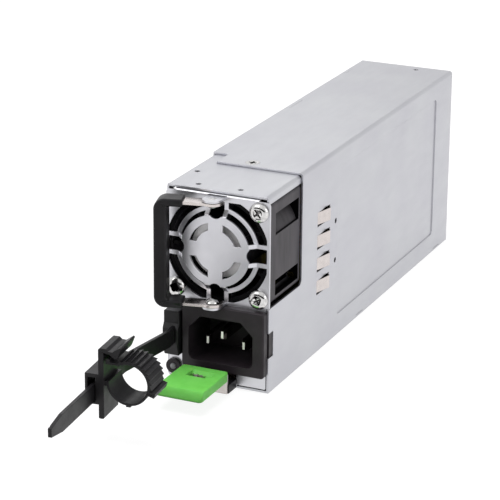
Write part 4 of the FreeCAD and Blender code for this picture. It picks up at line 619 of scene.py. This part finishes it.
# The green cap: a rounded slab with a sloping nose, a slot with a chamfered rear edge, and a hollow below.
CAP_NEAR, CAP_FAR = (Vector(corner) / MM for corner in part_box("latch_cap"))
CAP_SHORTER = 0.8
CAP_NEAR.y += CAP_SHORTER
CAP_CORNER_RADIUS = 1.4
CAP_CORNER_STEPS = 8
CAP_RIM = 0.7
CAP_RIM_STEPS = 4
NOSE_LEAN = 2.2                       # how far its top edge stands behind its foot
NOSE_FOOT = 0.6                       # height of the upright strip below the slope
PAST = 2                              # how far a cutter reaches past the cap
WEDGE_HEIGHT = 12
WEDGE_LENGTH = 8
SLOT_SIDES = (5.2, 12.6)              # from the cap's left side
SLOT_ENDS = (13.7, 17.9)              # from its nose
SLOT_CORNER = 0.25
CHAMFER = 1.3
CHAMFER_RUN = 2.4
CHAMFER_SIDES = (0.4, 1.6)            # inside the slot's left side, and past its right one
HOLLOW_WALLS = (1.4, 2.0)             # beside it and before it
HOLLOW_LENGTH = 14.0
HOLLOW_DEPTH = 0.9
HOLLOW_CORNER = 0.2
SLOT_LEFT, SLOT_RIGHT = (CAP_NEAR.x + side for side in SLOT_SIDES)
SLOT_NEAR, SLOT_FAR = (CAP_NEAR.y + end for end in SLOT_ENDS)


def select_uprights(mesh, shortest=1.5):
    """Selects the edges that rise by more than shortest millimetres."""
    for part in (*mesh.polygons, *mesh.vertices):
        part.select = False
    for edge in mesh.edges:
        start, end = (mesh.vertices[i].co for i in edge.vertices)
        edge.select = abs(start.z - end.z) > shortest * MM


only()
bpy.ops.mesh.primitive_cube_add(size=1.0, location=(CAP_NEAR + CAP_FAR) / 2 * MM)
cap = bpy.context.object
cap.scale = (CAP_FAR - CAP_NEAR) * MM
settle(cap)
bpy.context.tool_settings.mesh_select_mode = (False, True, False)
select_uprights(cap.data)
bpy.ops.object.mode_set(mode="EDIT")
bpy.ops.mesh.bevel(offset=CAP_CORNER_RADIUS * MM, segments=CAP_CORNER_STEPS, affect="EDGES")
bpy.ops.object.mode_set(mode="OBJECT")

wedge = small_block((CAP_NEAR.x - PAST, CAP_NEAR.y - WEDGE_LENGTH, CAP_NEAR.z + NOSE_FOOT),
                    (CAP_FAR.x + PAST, CAP_NEAR.y, CAP_NEAR.z + WEDGE_HEIGHT), rounding=0)
select_points(lambda place: place.z > (CAP_NEAR.z + WEDGE_HEIGHT / 2) * MM
              and place.y > (CAP_NEAR.y - WEDGE_LENGTH / 2) * MM)
move_selected(0, (WEDGE_HEIGHT - NOSE_FOOT) * NOSE_LEAN / (CAP_FAR.z - CAP_NEAR.z - NOSE_FOOT))
only(cap)
cut(cap, wedge)
break_edges(cap, CAP_RIM, CAP_RIM_STEPS, sharper_than=25)

chamfer = small_block((SLOT_LEFT + CHAMFER_SIDES[0], SLOT_FAR - CHAMFER_RUN, CAP_FAR.z - CHAMFER),
                      (SLOT_RIGHT + CHAMFER_SIDES[1], SLOT_FAR, CAP_FAR.z + PAST), rounding=0)
select_points(lambda place: place.y > (SLOT_FAR - CHAMFER_RUN / 2) * MM
              and place.z > (CAP_FAR.z + PAST / 2) * MM)
move_selected(0, CHAMFER + PAST)
slot = small_block((SLOT_LEFT, SLOT_NEAR, CAP_NEAR.z - 1), (SLOT_RIGHT, SLOT_FAR, CAP_FAR.z + 1),
                   SLOT_CORNER)
hollow = small_block((CAP_NEAR.x + HOLLOW_WALLS[0], CAP_NEAR.y + HOLLOW_WALLS[1], CAP_NEAR.z - 1),
                     (CAP_FAR.x - HOLLOW_WALLS[0], CAP_NEAR.y + HOLLOW_LENGTH, CAP_NEAR.z + HOLLOW_DEPTH),
                     HOLLOW_CORNER)
for cutter in (slot, chamfer, hollow):
    cut(cap, cutter)
only(cap)
smooth(degrees=35)
hand_over(cap, "latch_cap_moulding", FINISHES["green_plastic"], "latch", "green_plastic", "latch_cap")

# Painted shade in the slot: four thin black walls, just clear of the slot's sides, stand in for the slot's
# shade.
SHADE_WALL_GAP = 0.05
SHADE_WALL_THICKNESS = 0.3
SHADE_WALL_FOOT = CAP_NEAR.z + 1.3
SHADE_WALL_TOP = CAP_NEAR.z + 2.2
SMALL_EDGE = 0.05
INNER_LEFT, INNER_RIGHT = SLOT_LEFT + SHADE_WALL_GAP, SLOT_RIGHT - SHADE_WALL_GAP
INNER_NEAR, INNER_FAR = SLOT_NEAR + SHADE_WALL_GAP, SLOT_FAR - SHADE_WALL_GAP
SHADE_WALLS = ((INNER_LEFT, INNER_FAR - SHADE_WALL_THICKNESS, INNER_RIGHT, INNER_FAR),
                (INNER_LEFT, INNER_NEAR, INNER_RIGHT, INNER_NEAR + SHADE_WALL_THICKNESS),
                (INNER_LEFT, INNER_NEAR + SHADE_WALL_THICKNESS, INNER_LEFT + SHADE_WALL_THICKNESS, INNER_FAR - SHADE_WALL_THICKNESS),
                (INNER_RIGHT - SHADE_WALL_THICKNESS, INNER_NEAR + SHADE_WALL_THICKNESS, INNER_RIGHT, INNER_FAR - SHADE_WALL_THICKNESS))
hand_over(join([small_block((left, near, SHADE_WALL_FOOT), (right, far, SHADE_WALL_TOP), SMALL_EDGE)
                for left, near, right, far in SHADE_WALLS]),
          "cap_slot_shade_walls", BLACK_NYLON, "latch", "black_nylon")

# The tip of the lever's spring clip in the slot: four leaves in a zigzag.
LEAF_COUNT = 4
LEAF_LENGTH = 1.15
LEAF_HALF = 0.15
LEAF_PITCH = 0.95
LEAF_LEAN = 40
LEAF_FIRST = 1.9                      # from the left side of the slot's painted-shade walls
LEAF_BEHIND = 0.35                    # behind the slot's middle
LEAF_BELOW = 0.2                      # below the cap's top
CLIP_LEAVES = []
for leaf in range(LEAF_COUNT):
    across = INNER_LEFT + LEAF_FIRST + leaf * LEAF_PITCH
    ahead = (INNER_NEAR + INNER_FAR) / 2 + LEAF_BEHIND
    CLIP_LEAVES.append(small_block((across - LEAF_LENGTH / 2, ahead - LEAF_HALF, SHADE_WALL_FOOT),
                                   (across + LEAF_LENGTH / 2, ahead + LEAF_HALF, CAP_FAR.z - LEAF_BELOW),
                                   SMALL_EDGE, LEAF_LEAN if leaf % 2 else -LEAF_LEAN))
hand_over(join(CLIP_LEAVES), "cap_spring_clip", FINISHES["nickel_steel"], "latch", "nickel_steel")


# ---------------------------------------------------------------- studio

WHITE = (1, 1, 1, 1)
LOW, HIGH = (Vector(corner) for corner in CAD_BOX)
MIDDLE = (LOW + HIGH) / 2


def aim(thing, place, target, roll=0.0):
    """Puts a lamp or camera at place, facing target."""
    turned = (Vector(target) - Vector(place)).to_track_quat("-Z", "Y").to_matrix().to_4x4()
    thing.matrix_world = Matrix.Translation(place) @ turned @ Matrix.Rotation(roll, 4, "Z")


def softbox(name, place, target, size, watts, gel=(1, 1, 1)):
    """Rectangular lamp of that size in metres, with a gel over it."""
    lamp = bpy.data.lights.new(name, "AREA")
    lamp.color = gel
    lamp.shape = "RECTANGLE"
    lamp.size, lamp.size_y = size
    lamp.energy = watts
    holder = bpy.data.objects.new(name, lamp)
    bpy.context.scene.collection.objects.link(holder)
    aim(holder, place, target)
    return holder


def seen_white(material):
    """1 where a camera, mirror or see-through ray looks, 0 where light bounces."""
    rays = add_node(material, "ShaderNodeLightPath").outputs
    either = add_node(material, "ShaderNodeMath", links={0: rays["Is Camera Ray"], 1: rays["Is Glossy Ray"]},
                      operation="MAXIMUM").outputs[0]
    return add_node(material, "ShaderNodeMath", links={0: either, 1: rays["Is Transmission Ray"]},
                    operation="MAXIMUM").outputs[0]


# The floor is seen as white that keeps the shadow, and bounces light as grey paper.
FLOOR_SIZE = 6.0
FLOOR_GAP = 0.1
FLOOR_GLOW = 0.87
only()
bpy.ops.mesh.primitive_plane_add(size=FLOOR_SIZE, location=(0, 0, LOW.z - FLOOR_GAP * MM))
floor = bpy.context.object
floor.name = "floor"
paper, paper_shader = finish("matt pale paper floor", "#a8a8a8", 0.9)
glow = add_node(paper, "ShaderNodeEmission", {"Color": WHITE, "Strength": FLOOR_GLOW})
sheet = add_node(paper, "ShaderNodeBsdfDiffuse", {"Color": (0.2, 0.2, 0.2, 1)})
lit = add_node(paper, "ShaderNodeAddShader", links={0: glow.outputs[0], 1: sheet.outputs[0]})
choice = add_node(paper, "ShaderNodeMixShader",
                  links={0: seen_white(paper), 1: paper_shader.outputs[0], 2: lit.outputs[0]})
paper.node_tree.links.new(choice.outputs[0], paper.node_tree.nodes["Material Output"].inputs["Surface"])
floor.data.materials.append(paper)

# The world is seen as white, and lights the object at half of that.
SKY_BOUNCE = 0.5
world = bpy.data.worlds.new("studio")
bpy.context.scene.world = world
world.use_nodes = True
sky = world.node_tree.nodes["Background"]
bounce = add_node(world, "ShaderNodeBackground", {"Color": WHITE, "Strength": SKY_BOUNCE})
sky.inputs["Color"].default_value = WHITE
mix = add_node(world, "ShaderNodeMixShader",
               links={0: seen_white(world), 1: bounce.outputs[0], 2: sky.outputs[0]})
world.node_tree.links.new(mix.outputs[0], world.node_tree.nodes["World Output"].inputs["Surface"])

# A black card far in front, low down and out of sight, gives the glossy fronts something dark to mirror.
CARD_PLACE = (-0.1, -1.35, 0.2)
CARD_SIZE = (1.8, 0.4, 1)
bpy.ops.mesh.primitive_plane_add(size=1.0, location=CARD_PLACE, rotation=(math.pi / 2, 0, 0))
card = bpy.context.object
card.name = "black_card"
card.scale = CARD_SIZE
card.visible_camera = False
card.data.materials.append(finish("black felt", "#0a0a0a", 1.0, Specular_IOR_Level=0.0)[0])

ceiling = softbox("top_shade_share", (-0.15, -0.1, 1.0), MIDDLE, (0.9, 0.6), 9.7, (1, 0.972, 1))
ceiling.visible_glossy = False
softbox("key", (-0.5, -0.9, 0.7), MIDDLE, (0.5, 0.5), 2.5)
softbox("side", (1.1, -0.2, 0.5), MIDDLE, (0.7, 0.5), 2.5)
softbox("back", (-0.3, 0.55, 0.45), (0, LOW.y / 2, HIGH.z), (0.25, 0.2), 0.15)

AZIMUTH = math.radians(24.314)
ELEVATION = math.radians(19.446)
ROLL = math.radians(0.494)
TARGET = Vector((12.48, -92.5, 52.804)) * MM
DISTANCE = 791.27 * MM
FOCAL_LENGTH = 163.83
SENSOR_WIDTH = 36.0
AWAY = Vector((math.sin(AZIMUTH) * math.cos(ELEVATION), -math.cos(AZIMUTH) * math.cos(ELEVATION),
               math.sin(ELEVATION)))
lens = bpy.data.cameras.new("camera")
lens.sensor_width = SENSOR_WIDTH
lens.lens = FOCAL_LENGTH
lens.clip_start = 0.01
lens.clip_end = 20.0
camera = bpy.data.objects.new("camera", lens)
bpy.context.scene.collection.objects.link(camera)
aim(camera, TARGET + AWAY * DISTANCE, TARGET, ROLL)
bpy.context.scene.camera = camera
bpy.context.scene.view_settings.view_transform = "Standard"
